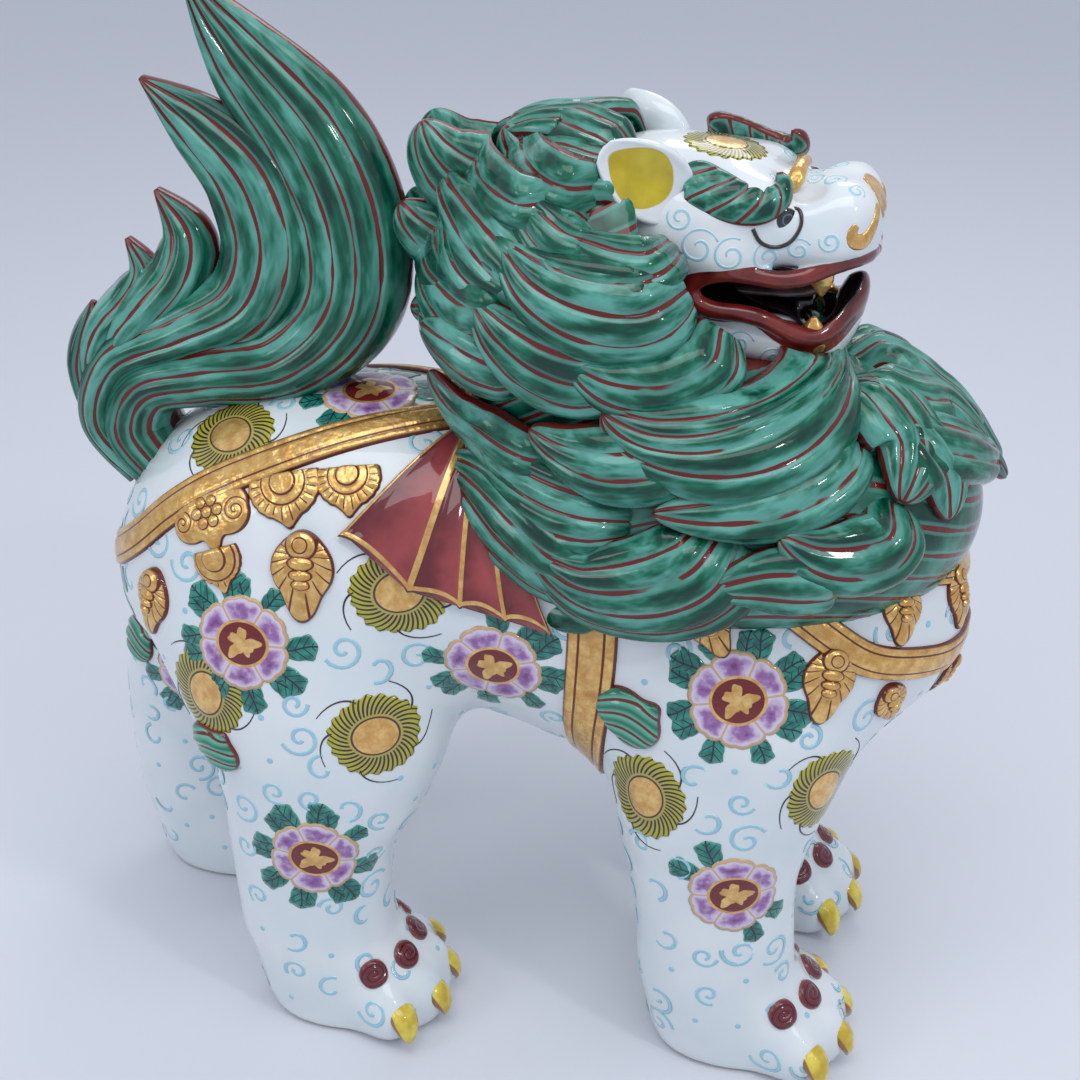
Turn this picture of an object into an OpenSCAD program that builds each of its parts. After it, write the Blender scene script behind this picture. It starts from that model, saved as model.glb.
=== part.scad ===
// Standing guardian lion in glazed porcelain, built the way the workshop lutes it together:
// hollow castings for trunk, legs, paws, neck and head, with pressed locks, straps and sprigs on top.
// +X is forward, +Y is the lion's left, +Z is up; the soles stand on Z = 0. Millimetres.

/* [Overall] */
// Length from the hind leg to the tips of the breast mane
overall_length = 335; // [285:5:400]
// Width over the legs and shoulders
overall_width = 156; // [132:2:186]
// Height to the tip of the tail
overall_height = 373; // [310:5:440]

/* [Castings] */
// Wall of the slip-cast trunk, legs and neck
cast_wall = 6; // [4.5:0.5:7.5]
// Diameter of the vent under the belly
vent_d = 14; // [9:1:18]
// Thickness of the sole under a hollow leg
sole_thickness = 7; // [5:0.5:9]

/* [Head] */
// How far the head is turned towards the lion's right, in degrees
head_turn = 8; // [0:1:15]
// How far the head is rolled, in degrees
head_roll = 5; // [0:1:10]
// Length of an ear
ear_length = 29; // [22:1:36]
// Diameter of an eyeball
eye_d = 14; // [11:0.5:17]
// Length of a fang
fang_length = 11; // [8:0.5:14]
// Length of an eyebrow scroll
brow_length = 34; // [28:1:40]

/* [Mane and tail] */
// How far a lock stands out of the neck
lock_relief = 7; // [5:0.5:9]
// Share of its drawn width that a lock has
lock_fullness = 1.0; // [0.85:0.05:1.2]
// Half thickness of the tail at its fullest
tail_depth = 22; // [17:1:28]

/* [Harness] */
// Width of the straps
strap_width = 13; // [10:1:16]
// Thickness of the straps
strap_thickness = 2.4; // [1.8:0.2:3.2]
// Length of a leaf pendant
pendant_length = 34; // [27:1:42]
// Thickness of the pressed pendants
pendant_thickness = 3.2; // [2.4:0.2:4.4]
// Thickness of the pleated saddle flaps
flap_thickness = 3; // [2.2:0.2:4]

/* [Claws and studs] */
// Length of a claw
claw_length = 13; // [10:1:16]
// Diameter of a spiral stud on a toe
stud_d = 11; // [8:0.5:13]
// Height of a spiral stud
stud_height = 3; // [2:0.25:4]

/* [Hidden] */
$fn = 32;

porcelain = [0.93, 0.95, 0.96];
jade = [0.13, 0.52, 0.38];
gilt = [0.80, 0.58, 0.22];
oxblood = [0.42, 0.07, 0.07];
maroon = [0.50, 0.14, 0.18];
citron = [0.82, 0.70, 0.08];
ink = [0.08, 0.07, 0.08];

// The forms below are drawn at the standard size and stretched to the sizes asked for.
standard = [335, 156, 373];
stretch = [overall_length / standard.x, overall_width / standard.y, overall_height / standard.z];
middle_x = -6.8; // where the middle of the length falls in the drawing
function fit(p) = [(p.x - middle_x) * stretch.x, p.y * stretch.y, p.z * stretch.z];
function fit_turn(v) = [v.x * stretch.x, v.y * stretch.y, v.z * stretch.z];

lute = 1; // how far a luted piece beds into what it is stuck to
front_right_leg_x = 76;
front_left_leg_x = 82;
hind_right_leg_x = -66;
hind_left_leg_x = -135;
leg_y = 41;

/* ---- points along curves ---- */
function unit(v) = v / max(norm(v), 1e-6);
function side_power(c, e) = sign(c) * pow(abs(c), 2 / e);
function knot(p, i) = p[max(0, min(len(p) - 1, i))];
function curve_at(p, i, t) =
    let (a = knot(p, i - 1), b = knot(p, i), c = knot(p, i + 1), d = knot(p, i + 2))
    0.5 * (2 * b + (c - a) * t + (2 * a - 5 * b + 4 * c - d) * t * t
        + (3 * b - a - 3 * c + d) * t * t * t);
function smooth(p, steps) =
    [for (i = [0 : len(p) - 2]) for (j = [0 : steps - 1]) curve_at(p, i, j / steps), p[len(p) - 1]];
function along(p, t) =
    let (s = t * (len(p) - 1), i = min(floor(s), len(p) - 2)) curve_at(p, i, s - i);

/* ---- closed solids from rings of points ---- */
// Rings may run either way round; the faces are turned to look outwards.
function middle(r) = [for (i = [0 : 2]) sum_of(r, i) / len(r)];
function sum_of(r, i, k = 0) = k == len(r) ? 0 : r[k][i] + sum_of(r, i, k + 1);
module loft(rings) {
    n = len(rings[0]);
    m = len(rings);
    c = middle(rings[0]);
    turned = cross(rings[0][0] - c, rings[0][ceil(n / 4)] - c) * (middle(rings[1]) - c) > 0;
    points = [for (r = rings) for (p = r) fit(p)];
    sides = [for (i = [0 : m - 2]) for (k = [0 : n - 1]) let (a = i * n + k, b = i * n + (k + 1) % n)
        for (f = turned ? [[a, a + n, b + n], [a, b + n, b]] : [[a, b, b + n], [a, b + n, a + n]]) f];
    caps = [[for (k = [0 : n - 1]) turned ? k : n - 1 - k],
        [for (k = [0 : n - 1]) (m - 1) * n + (turned ? n - 1 - k : k)]];
    polyhedron(points, concat(caps, sides), convexity = 8);
}
function ring(centre, u, v, a, b, e = 2, n = 24) =
    [for (k = [0 : n - 1])
        centre + u * a * side_power(cos(360 * k / n), e) + v * b * side_power(sin(360 * k / n), e)];

/* ---- trunk ---- */
// [x, height of the middle, half width, half height]
trunk_stations = [
    [-147, 168, 8, 9], [-141, 170, 25, 27], [-128, 174, 40, 42], [-108, 178, 52, 53],
    [-80, 181, 58, 58], [-45, 182, 59, 58], [-12, 179, 57, 57], [18, 171, 57, 60],
    [50, 165, 60, 64], [80, 165, 61, 62], [105, 166, 57, 56], [125, 168, 49, 46],
    [143, 170, 34, 33], [152, 171, 20, 19], [156, 171, 8, 8]
];
function trunk_station(x) =
    let (s = trunk_stations,
        i = max([0, for (k = [0 : len(s) - 2]) if (s[k].x <= x) k]),
        t = (x - s[i].x) / (s[i + 1].x - s[i].x))
    curve_at(s, i, max(0, min(1, t)));
// A point on the trunk at x, at an angle above the horizontal on the given side
function on_trunk(x, angle, side) =
    let (s = trunk_station(x)) [x, side * s[2] * cos(angle), s[1] + s[3] * sin(angle)];
function trunk_out(x, angle, side) =
    unit(cross(on_trunk(x + 1, angle, side) - on_trunk(x - 1, angle, side),
        on_trunk(x, angle + 1, side) - on_trunk(x, angle - 1, side)) * -side);
module trunk_form(inset) {
    s = smooth([for (q = trunk_stations) [4.5 + (q.x - 4.5) * (1 - inset / 151.5), q[1],
        max(q[2] - inset, 2), max(q[3] - inset, 2)]], inset > lute ? 1 : 2);
    loft([for (q = s) ring([q[0], 0, q[1]], [0, 1, 0], [0, 0, 1], q[2], q[3], 2, 26)]);
}
module trunk_shell() {
    color(porcelain) difference() {
        trunk_form(0);
        trunk_form(cast_wall);
        translate(fit([-5, 0, 60])) cylinder(d = vent_d, h = 110 * stretch.z);
    }
}

/* ---- legs: [height, x, y, half length, half width], x and y from the leg's own line ---- */
hind_right_stations = [
    [0, 9, 0, 33, 20], [3, 9, 0, 35.5, 22], [12, 7, 0, 37, 23.5], [22, 3, 0, 35, 23.5], [31, -2, 0, 31.5, 23],
    [40, -6, 0, 29, 22.5], [58, -7, 0, 29, 23], [78, -6, 0, 31, 24], [98, -1, -1, 37, 27],
    [120, 1, -3, 44, 30], [142, -4, -5, 49, 31], [165, -10, -8, 46, 29], [184, -14, -11, 35, 22],
    [196, -16, -14, 20, 13]
];
hind_left_stations = [
    [0, 8, 0, 33, 20], [3, 8, 0, 35.5, 22], [12, 6, 0, 37, 23.5], [22, 2, 0, 35, 23.5], [31, -3, 0, 31.5, 23],
    [40, -7, 0, 29, 22.5], [58, -8, 0, 29, 23], [78, -6, 0, 31, 24], [98, 1, -1, 36, 27],
    [120, 14, -3, 42, 30], [142, 30, -5, 46, 31], [165, 44, -8, 44, 29], [184, 52, -11, 34, 22],
    [196, 56, -14, 20, 13]
];
front_stations = [
    [0, 16, 0, 34, 20], [3, 16, 0, 36.5, 22], [12, 14, 0, 38, 23.5], [22, 10, 0, 36, 23.5], [31, 5, 0, 32.5, 23],
    [40, 1, 0, 29, 22.5], [56, 0, 0, 28.5, 23], [78, -2, 0, 30, 24], [100, -2, -1, 35, 27],
    [125, 0, -3, 41, 30], [148, 2, -5, 42, 31], [170, 2, -9, 34, 26], [186, 2, -13, 20, 15]
];
module leg_form(stations, x, side, inset, steps) {
    loft([for (q = smooth([for (q = stations) if (inset == 0 || q[0] > 10) q], steps))
        ring([x + q[1], side * (leg_y + q[2]), inset > 0 && q[0] < 13 ? sole_thickness : q[0]],
            [1, 0, 0], [0, 1, 0], max(q[3] - inset, 3), max(q[4] - inset, 3), 2.3, 16)]);
}
module leg(stations, x, side) {
    color(porcelain) difference() {
        leg_form(stations, x, side, 0, 2);
        leg_form(stations, x, side, cast_wall, 1);
        trunk_form(lute);
    }
}
// Four toes fan out over the front of a paw
module at_toes(x, side, angles, reach, height) {
    for (a = angles)
        translate(fit([x + reach * cos(a), side * leg_y + reach * sin(a), height]))
            rotate([0, 0, a]) children();
}
module claws(x, side) {
    color(citron) at_toes(x, side, [-44, -15, 14, 43], 31, 20)
        rotate([0, 152, 0]) cylinder(r1 = 4.4, r2 = 0.7, h = claw_length);
}
module toe_studs(x, side) {
    color(maroon) at_toes(x, side, [-57, -20, 17, 54] * stud_d / 11, 21, 28)
        rotate([0, 35, 0]) translate([0, 0, -1]) cylinder(d1 = stud_d, d2 = stud_d * 0.6, h = stud_height + 1);
}

/* ---- neck, which the locks are stuck to ---- */
// Two blended ellipsoids: [centre x, centre z, half length, half width, half height]
ruff = [33, 272, 66, 56, 62];
collar = [67, 208, 92, 70, 56];
function bulge(e, x, z) =
    let (k = 1 - pow((x - e[0]) / e[2], 2) - pow((z - e[1]) / e[4], 2)) k > 0 ? e[3] * sqrt(k) : 0;
function neck_half_width(x, z) =
    pow(pow(bulge(ruff, x, z), 4) + pow(bulge(collar, x, z), 4), 0.25);
function slope_out(e, x, y, z) =
    unit([(x - e[0]) / (e[2] * e[2]), y / (e[3] * e[3]), (z - e[1]) / (e[4] * e[4])]);
function neck_out(x, z, side) =
    let (y = side * neck_half_width(x, z),
        r = pow(bulge(ruff, x, z), 4) + (z > 240 ? 1 : 0),
        c = pow(bulge(collar, x, z), 4) + (z > 240 ? 0 : 1))
    unit(r * slope_out(ruff, x, y, z) + c * slope_out(collar, x, y, z));
// [height, x of the middle, half length, half width] of the hollow neck
neck_stations = [
    [196, 66, 70, 56], [210, 64, 76, 58], [226, 58, 74, 58], [240, 47, 68, 56], [256, 32, 57, 53],
    [266, 23, 49, 51], [276, 18, 45, 49], [292, 16, 43, 45], [308, 15, 36, 37], [319, 16, 27, 24]
];
module neck_form(inset, lift) {
    loft([for (q = smooth(neck_stations, inset > 0 ? 1 : 2))
        ring([q[1], 0, q[0] + (q[0] < 197 ? -lift : q[0] > 318 ? -inset : 0)],
            [1, 0, 0], [0, 1, 0], q[2] - inset, q[3] - inset, 2.4, 20)]);
}
module neck_shell() {
    color(jade) difference() {
        neck_form(0, 0);
        neck_form(cast_wall, cast_wall);
        trunk_form(lute);
        on_head() head_form(0);
    }
}

/* ---- locks of the mane ---- */
// Each lock is drawn as it lies against the neck, from its free tip to its root, in x and z.
lock_sides = 8;
lock_steps = 8;
function lock_width(t) = pow(t, 0.72) * pow(1.1 - t, 0.5) / 0.463;
module lock(path, width, side, lift = 4, swell = 1) {
    half = width / 2 * lock_fullness;
    function place(t) = let (q = along(path, t), y = neck_half_width(q[0], q[1]),
        free = len(q) > 2 ? q[2] : 0) [q[0], side * max(y - free, 4), q[1]];
    loft([for (i = [0 : lock_steps])
        let (t = 0.02 + 0.98 * i / lock_steps, p = place(t),
            forward = unit(place(min(t + 0.04, 1)) - place(max(t - 0.04, 0))),
            outward = unit(neck_out(p.x, p.z, side) - forward * (forward * neck_out(p.x, p.z, side))),
            across = cross(forward, outward),
            relief = lock_relief * swell * pow(lock_width(t), 0.8),
            raised = p + outward * lift * pow(1 - t, 2))
        [for (k = [0 : lock_sides - 1]) let (a = 360 * k / lock_sides)
            raised + across * half * lock_width(t) * cos(a)
                + outward * (sin(a) > 0 ? 1 : 0.45) * relief * sin(a)]]);
}
// The mane's tiers: [path, width, lift of the tip, swell]
nape_locks = [
    [[[-28, 329], [-22, 319], [-10, 316], [6, 314]], 18, 2, 1],
    [[[-2, 328], [9, 324], [21, 322], [34, 321]], 18, 2, 1],
    [[[-37, 306], [-29, 299], [-18, 297], [-5, 298]], 19, 2, 1],
    [[[-35, 270], [-24, 275], [-10, 278]], 13, 2, 1],
    [[[-31, 290], [-20, 289], [-6, 286], [6, 284]], 17, 2, 1]
];
temple_locks = [
    [[[-21, 311], [-12, 307], [-3, 301], [6, 295], [17, 290]], 16, 4, 1],
    [[[8, 316], [13, 311], [22, 306], [33, 304]], 15, 3, 0.9],
    [[[20, 312], [27, 305], [37, 302], [46, 304], [52, 311]], 15, 4, 1.1],
    [[[24, 321], [33, 318], [42, 317], [50, 318]], 13, 2, 0.8]
];
cheek_locks = [
    [[[4, 301], [14, 293], [28, 288], [43, 287], [57, 293]], 24, 4, 1.2],
    [[[-4, 285], [4, 277], [15, 270], [28, 267], [42, 272]], 21, 4, 1],
    [[[-22, 274], [-13, 270], [-3, 266], [9, 264]], 16, 4, 1]
];
jowl_locks = [
    [[[24, 272], [35, 266], [50, 264], [63, 269], [70, 279]], 18, 3, 1.3],
    [[[33, 259], [47, 251], [66, 247], [83, 249], [95, 257], [94, 268]], 30, 4, 1.9],
    [[[12, 250], [23, 244], [36, 241], [51, 243], [64, 248]], 19, 4, 1.1]
];
shoulder_locks = [
    [[[-22, 258], [-12, 246], [2, 237], [18, 233]], 17, 3, 1],
    [[[-22, 219], [-8, 221], [6, 214], [20, 207], [36, 206]], 26, 3, 1],
    [[[15, 208], [31, 201], [50, 203], [65, 210], [74, 222]], 30, 3, 1.1],
    [[[0, 188], [10, 180], [24, 177], [40, 181]], 19, 2, 0.9],
    [[[-14, 238], [0, 230], [20, 224], [42, 224]], 20, 2, 0.8],
    [[[50, 228], [70, 229], [87, 232], [102, 238], [110, 247]], 18, 2, 1]
];
breast_locks = [
    [[[69, 208], [83, 210], [96, 209], [110, 208]], 17, 3, 1],
    [[[87, 223], [98, 217], [110, 215], [121, 217], [126, 228]], 19, 3, 1],
    [[[122, 226, 6], [126, 238, 4], [120, 248], [109, 256]], 23, 3, 1.1],
    [[[153, 231, 0], [139, 243, 0], [124, 250], [109, 257]], 18, 0, 1],
    [[[160, 220, 0], [147, 232, 0], [132, 240], [119, 245]], 19, 0, 1],
    [[[138, 217, 8], [137, 228, 6], [131, 239], [120, 249]], 17, 2, 1]
];
module mane(locks, side) {
    color(jade) for (q = locks) lock(q[0], q[1], side, q[2], q[3]);
}

/* ---- tail: flames in the middle plane, [x, z, half width], from root to tip ---- */
flames = [
    [[-126, 203, 12], [-137, 221, 14], [-129, 238, 13], [-107, 244, 14], [-79, 249, 16], [-59, 268, 19],
        [-57, 295, 20], [-68, 322, 20], [-88, 347, 14], [-106, 373, 1]],
    [[-134, 205, 10], [-147, 224, 10], [-138, 246, 11], [-114, 257, 13], [-92, 268, 16], [-84, 287, 17],
        [-90, 309, 16], [-106, 326, 11], [-123, 340, 1]],
    [[-141, 240, 5], [-136, 253, 9], [-125, 265, 11], [-115, 277, 11], [-113, 290, 9], [-122, 304, 1]],
    [[-148, 230, 4], [-148, 243, 7], [-142, 256, 9], [-133, 266, 9], [-129, 276, 6], [-134, 287, 1]],
    [[-150, 218, 4], [-154, 231, 5], [-154, 244, 6], [-152, 254, 5], [-149, 264, 1]]
];
flame_depths = [1, 0.92, 0.8, 0.66, 0.54];
module flame_form(index, bed) {
    path = smooth(flames[index], 2);
    last = len(path) - 1;
    loft([for (i = [0 : last])
        let (q = path[i], t = i / last, a = path[max(i - 1, 0)], b = path[min(i + 1, last)],
            forward = unit([b[0] - a[0], 0, b[1] - a[1]]),
            across = cross(forward, [0, 1, 0]),
            depth = tail_depth * flame_depths[index] * (0.55 + 0.45 * sin(180 * min(1, t * 1.15)))
                * pow(1.02 - t, 0.45))
        ring([q[0], 0, q[1]], across, [0, 1, 0], max(q[2] - bed, 0.6), max(depth - bed, 1.2), 2, 14)]);
}
// Each flame is pressed against the bigger one in front of it
module flame(index) {
    color(jade) difference() {
        flame_form(index, 0);
        if (index > 0) flame_form(index - 1, lute);
        if (index > 2) flame_form(1, lute);
        if (index == 0) trunk_form(lute);
    }
}

/* ---- head, drawn facing straight ahead and then turned on the neck ---- */
head_pivot = [40, 0, 290];
module on_head() {
    translate(fit(head_pivot)) rotate([head_roll, 0, -head_turn]) translate(-fit(head_pivot)) children();
}
function head_rings(stations, n, e = 2.2) = [for (q = smooth(stations, 2))
    ring([q[0], 0, q[1]], [0, 1, 0], [0, 0, 1], q[2], q[3], e, n)];
// [x, height of the middle, half width, half height]
head_stations = [[20, 304, 16, 16], [26, 304, 24, 24], [38, 306, 29, 28], [52, 306, 29, 24], [66, 305, 26.5, 19],
    [80, 304.5, 24, 15], [92, 306, 21.5, 12.5], [103, 307.5, 20, 12.5], [110, 306.5, 17, 10.5], [114.5, 305, 10, 8]];
jaw_stations = [
    [44, 276, 22, 10], [56, 273, 22, 9], [70, 269, 20, 7], [84, 265, 17, 6], [94, 266, 14, 8],
    [100, 269, 10, 8], [104, 272, 4, 4]
];
module head_form(inset) {
    loft(head_rings([for (q = head_stations) if (inset == 0 || q[0] > 30 && q[0] < 110)
        [q[0] - inset * (q[0] > 100 ? 0.5 : 0) - (q[0] < 40 ? 30 * min(inset, 1) : 0), q[1],
            q[2] - inset, q[3] - inset]], inset > 0 ? 16 : 22));
}
module head_shell() {
    color(porcelain) on_head() difference() {
        head_form(0);
        head_form(cast_wall * 0.9);
    }
}
module lower_jaw() {
    color(porcelain) on_head() loft(head_rings(jaw_stations, 16));
}
module tongue() {
    color(ink) on_head() loft(head_rings(
        [[52, 284, 10, 3], [66, 280, 11, 3.5], [82, 278, 10, 3.5], [94, 281, 8, 3.5], [101, 286, 5, 3], [104, 290, 2, 1.5]], 14, 2));
}
module fangs(x, y, z, tilt, height) {
    color(gilt) on_head() for (side = [-1, 1])
        translate(fit([x, side * y, z])) rotate([0, tilt, 0]) cylinder(r1 = 4, r2 = 1, h = height);
}
module nose_knob() {
    color(gilt) on_head() translate(fit([90, 0, 315])) sphere(d = 11);
}
module eye(side) {
    color("white") on_head() translate(fit([84, side * 17, 311])) sphere(d = eye_d);
}
// A comma-shaped scroll, head forward
module brow(side) {
    s = brow_length / 34;
    color(jade) on_head() loft([for (q = smooth([[52, 322, 18, 2, 1.5], [58, 321, 20, 7, 4], [65, 319, 21, 8, 5],
        [73, 318, 21, 7.5, 5.5], [80, 317, 19, 6.5, 5], [85, 317, 17, 4, 3]], 2))
        ring([68 + (q[0] - 68) * s, side * q[2], q[1]], [0, side * 0.75, -0.66], [0, side * 0.66, 0.75],
            q[3], q[4], 2, 12)]);
}
// Cupped leaf that lies back from the temple
module ear(side) {
    color(porcelain) on_head() loft([for (q = smooth([[0, 3, 5], [0.15, 7, 7.5], [0.45, 11, 8], [0.75, 9.5, 6],
        [0.95, 5, 3.5], [1, 2, 1.5]], 2))
        ring([54 - q[0] * ear_length * 0.74, side * (23 + q[0] * ear_length * 0.34), 319 + q[0] * ear_length * 0.46],
            [0.35, 0, -0.94], [0.5, side * 0.84, 0.2], q[1], q[2], 2, 14)]);
}

/* ---- harness ---- */
// A band laid on the trunk through [x, angle] points
module strap(path, width, side = 1) {
    s = smooth(path, 3);
    last = len(s) - 1;
    color(gilt) loft([for (i = [0 : last])
        let (q = s[i], a = s[max(i - 1, 0)], b = s[min(i + 1, last)],
            out = trunk_out(q[0], q[1], side),
            run = unit(on_trunk(b[0], b[1], side) - on_trunk(a[0], a[1], side)),
            across = unit(cross(run, out)), p = on_trunk(q[0], q[1], side))
        [p - across * width / 2 - out * lute, p + across * width / 2 - out * lute,
            p + across * width / 2 + out * strap_thickness * 0.7, p + across * width / 4 + out * strap_thickness,
            p - across * width / 4 + out * strap_thickness, p - across * width / 2 + out * strap_thickness * 0.7]]);
}
crupper_path = [[-4, 64], [-30, 58], [-60, 50], [-86, 40], [-108, 28], [-128, 14], [-142, 4]];
upper_breast_path = [[112, 52], [124, 42], [138, 34], [149, 30]];
lower_breast_path = [[94, 30], [112, 14], [130, -4], [144, -18], [152, -28]];
girth_path = [[36, 10], [31, -16], [30, -40], [30, -66], [30, -89]];
module mirrored_straps(path, width) {
    strap(path, width, -1);
    mirror([0, 1, 0]) strap(path, width, -1);
}
// Puts its children on the trunk, +Z outwards and +Y up the side
module on_side(x, angle, side) {
    p = fit(on_trunk(x, angle, side));
    z = trunk_out(x, angle, side);
    y = unit([0, 0, 1] - z * z.z);
    u = cross(y, z);
    multmatrix([[u.x, y.x, z.x, p.x], [u.y, y.y, z.y, p.y], [u.z, y.z, z.z, p.z], [0, 0, 0, 1]]) children();
}
function leaf_outline(length, width) = concat(
    [for (k = [0 : 12]) let (t = k / 12) [width / 2 * sin(180 * pow(t, 0.75)), -length * t]],
    [for (k = [11 : -1 : 1]) let (t = k / 12) [-width / 2 * sin(180 * pow(t, 0.75)), -length * t]]);
module leaf_pendant(length) {
    translate([0, 0, -lute]) linear_extrude(pendant_thickness + lute)
        polygon(leaf_outline(length, length * 0.66));
    for (k = [0 : 3])
        translate([0, -length * (0.1 + 0.13 * k), pendant_thickness * 0.6]) sphere(r = length * (0.1 - 0.012 * k));
}
module rosette(radius) {
    translate([0, 0, -lute]) linear_extrude(pendant_thickness * 0.8 + lute)
        polygon(leaf_outline(radius * 1.9, radius * 2));
    translate([0, -radius * 0.35, 0]) cylinder(r = radius * 0.42, h = pendant_thickness * 1.2);
}
module cloud_sprig(size) {
    translate([0, 0, -lute]) linear_extrude(pendant_thickness + lute)
        polygon([for (k = [0 : 47]) let (a = 7.5 * k, r = size * (0.8 + 0.12 * cos(5 * a))) [1.25 * r * cos(a), r * sin(a)]]);
    for (a = [0 : 60 : 300]) translate([size * 0.3 * cos(a), size * 0.3 * sin(a), pendant_thickness * 0.7])
        sphere(r = size * 0.15);
    translate([0, 0, pendant_thickness * 0.7]) sphere(r = size * 0.15);
}
module both_sides(x, angle) {
    for (side = [-1, 1]) on_side(x, angle, side) children();
}
// Fan of pleats, hung from the crupper strap; u runs along the hem, v from hip to hem
flap_hip = [-4, 56];
flap_back_hem = [-50, 12];
flap_front_hem = [24, -14];
module saddle_flap(side) {
    pleats = 4;
    rows = 5;
    columns = pleats * 3;
    function spot(u, v) = let (hem = flap_back_hem + (flap_front_hem - flap_back_hem) * u,
        q = flap_hip + [u * 26, -u * 14] + (hem - flap_hip - [u * 26, -u * 14]) * v) q;
    function height(u, v) = flap_thickness * (0.55 + 0.45 * abs(sin(180 * pleats * u)) * (0.3 + 0.7 * v));
    points = [for (layer = [0, 1]) for (j = [0 : rows]) for (i = [0 : columns])
        let (u = i / columns, v = j / rows, q = spot(u, v))
        fit(on_trunk(q.x, q.y, side)) + trunk_out(q.x, q.y, side) * (layer == 1 ? height(u, v) : -lute)];
    w = columns + 1;
    top = w * (rows + 1);
    function cell(i, j, o) = let (a = o + j * w + i) [[a, a + 1, a + w + 1], [a, a + w + 1, a + w]];
    function turned(f) = [for (k = [len(f) - 1 : -1 : 0]) f[k]];
    rim = concat([for (i = [0 : columns - 1]) i], [for (j = [0 : rows - 1]) j * w + columns],
        [for (i = [columns : -1 : 1]) rows * w + i], [for (j = [rows : -1 : 1]) j * w]);
    faces = concat([for (j = [0 : rows - 1]) for (i = [0 : columns - 1]) for (f = cell(i, j, top)) f],
        [for (j = [0 : rows - 1]) for (i = [0 : columns - 1]) for (f = cell(i, j, 0)) turned(f)],
        [for (k = [0 : len(rim) - 1]) let (a = rim[k], b = rim[(k + 1) % len(rim)])
            for (f = [[a, b, b + top], [a, b + top, a + top]]) f]);
    color(maroon) polyhedron(points, side < 0 ? faces : [for (f = faces) turned(f)], convexity = 6);
}
// Comma-shaped lobes that sweep back from a joint of the leg
module tuft(place, size) {
    color(jade) for (k = [0 : 2])
        loft([for (q = [[0, 0, 0.12], [0.25, 0.1, 0.2], [0.55, 0.13, 0.22], [0.85, 0, 0.15], [1.02, -0.18, 0.04]])
            ring([place[0] - size * q[0], place[1], place[2] + size * (q[1] - 0.3 * k)], [0, 1, 0], [0, 0, 1],
                size * (q[2] + 0.06), size * q[2], 2, 8)]);
}
module tufts(right, left, size) {
    tuft(right, size);
    tuft(left, size);
}

trunk_shell();
neck_shell();
leg(front_stations, front_right_leg_x, -1);  // leg_front_right
leg(front_stations, front_left_leg_x, 1);  // leg_front_left
leg(hind_right_stations, hind_right_leg_x, -1);  // leg_hind_right
leg(hind_left_stations, hind_left_leg_x, 1);  // leg_hind_left
claws(front_right_leg_x + 14, -1);  // claws_front_right
claws(front_left_leg_x + 14, 1);  // claws_front_left
claws(hind_right_leg_x + 6, -1);  // claws_hind_right
claws(hind_left_leg_x + 6, 1);  // claws_hind_left
toe_studs(front_right_leg_x + 14, -1);  // toe_studs_front_right
toe_studs(front_left_leg_x + 14, 1);  // toe_studs_front_left
toe_studs(hind_right_leg_x + 6, -1);  // toe_studs_hind_right
toe_studs(hind_left_leg_x + 6, 1);  // toe_studs_hind_left
head_shell();
lower_jaw();
tongue();
fangs(97, 14, 299, 180, fang_length);  // upper_fangs
fangs(92, 11, 270, -8, fang_length);  // lower_fangs
nose_knob();
eye(-1);  // eye_right
eye(1);  // eye_left
brow(-1);  // brow_right
brow(1);  // brow_left
ear(-1);  // ear_right
ear(1);  // ear_left
mane(nape_locks, -1);  // mane_nape_right
mane(nape_locks, 1);  // mane_nape_left
mane(temple_locks, -1);  // mane_temple_right
mane(temple_locks, 1);  // mane_temple_left
mane(cheek_locks, -1);  // mane_cheek_right
mane(cheek_locks, 1);  // mane_cheek_left
mane(jowl_locks, -1);  // mane_jowl_right
mane(jowl_locks, 1);  // mane_jowl_left
mane(shoulder_locks, -1);  // mane_shoulder_right
mane(shoulder_locks, 1);  // mane_shoulder_left
mane(breast_locks, -1);  // mane_breast_right
mane(breast_locks, 1);  // mane_breast_left
flame(0);  // tail_flame_main
flame(1);  // tail_flame_second
flame(2);  // tail_flame_third
flame(3);  // tail_flame_fourth
flame(4);  // tail_flame_fifth
mirrored_straps(crupper_path, strap_width);  // crupper_strap
mirrored_straps(upper_breast_path, strap_width * 0.8);  // breast_strap_upper
mirrored_straps(lower_breast_path, strap_width);  // breast_strap_lower
mirrored_straps(girth_path, strap_width);  // girth_strap
saddle_flap(-1);  // saddle_flap_right
saddle_flap(1);  // saddle_flap_left
color(gilt) both_sides(-112, 12) cloud_sprig(15);  // rump_cloud_sprigs
color(gilt) { both_sides(-86, 32) rosette(13); both_sides(-60, 41) rosette(12); }  // rosette_sprigs
color(gilt) both_sides(-78, 6) leaf_pendant(pendant_length);  // leaf_pendants_rump
color(gilt) both_sides(118, 4) leaf_pendant(pendant_length * 0.8);  // leaf_pendants_breast
tufts([front_right_leg_x - 21, -57, 156], [front_left_leg_x - 25, 57, 156], 22);  // elbow_tufts
tufts([hind_right_leg_x - 23, -57, 130], [hind_left_leg_x - 10, 22, 122], 20);  // hock_tufts
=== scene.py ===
import math
import time

import bmesh
import bpy
import numpy as np
import openvdb
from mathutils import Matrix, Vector
from mathutils.bvhtree import BVHTree


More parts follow.
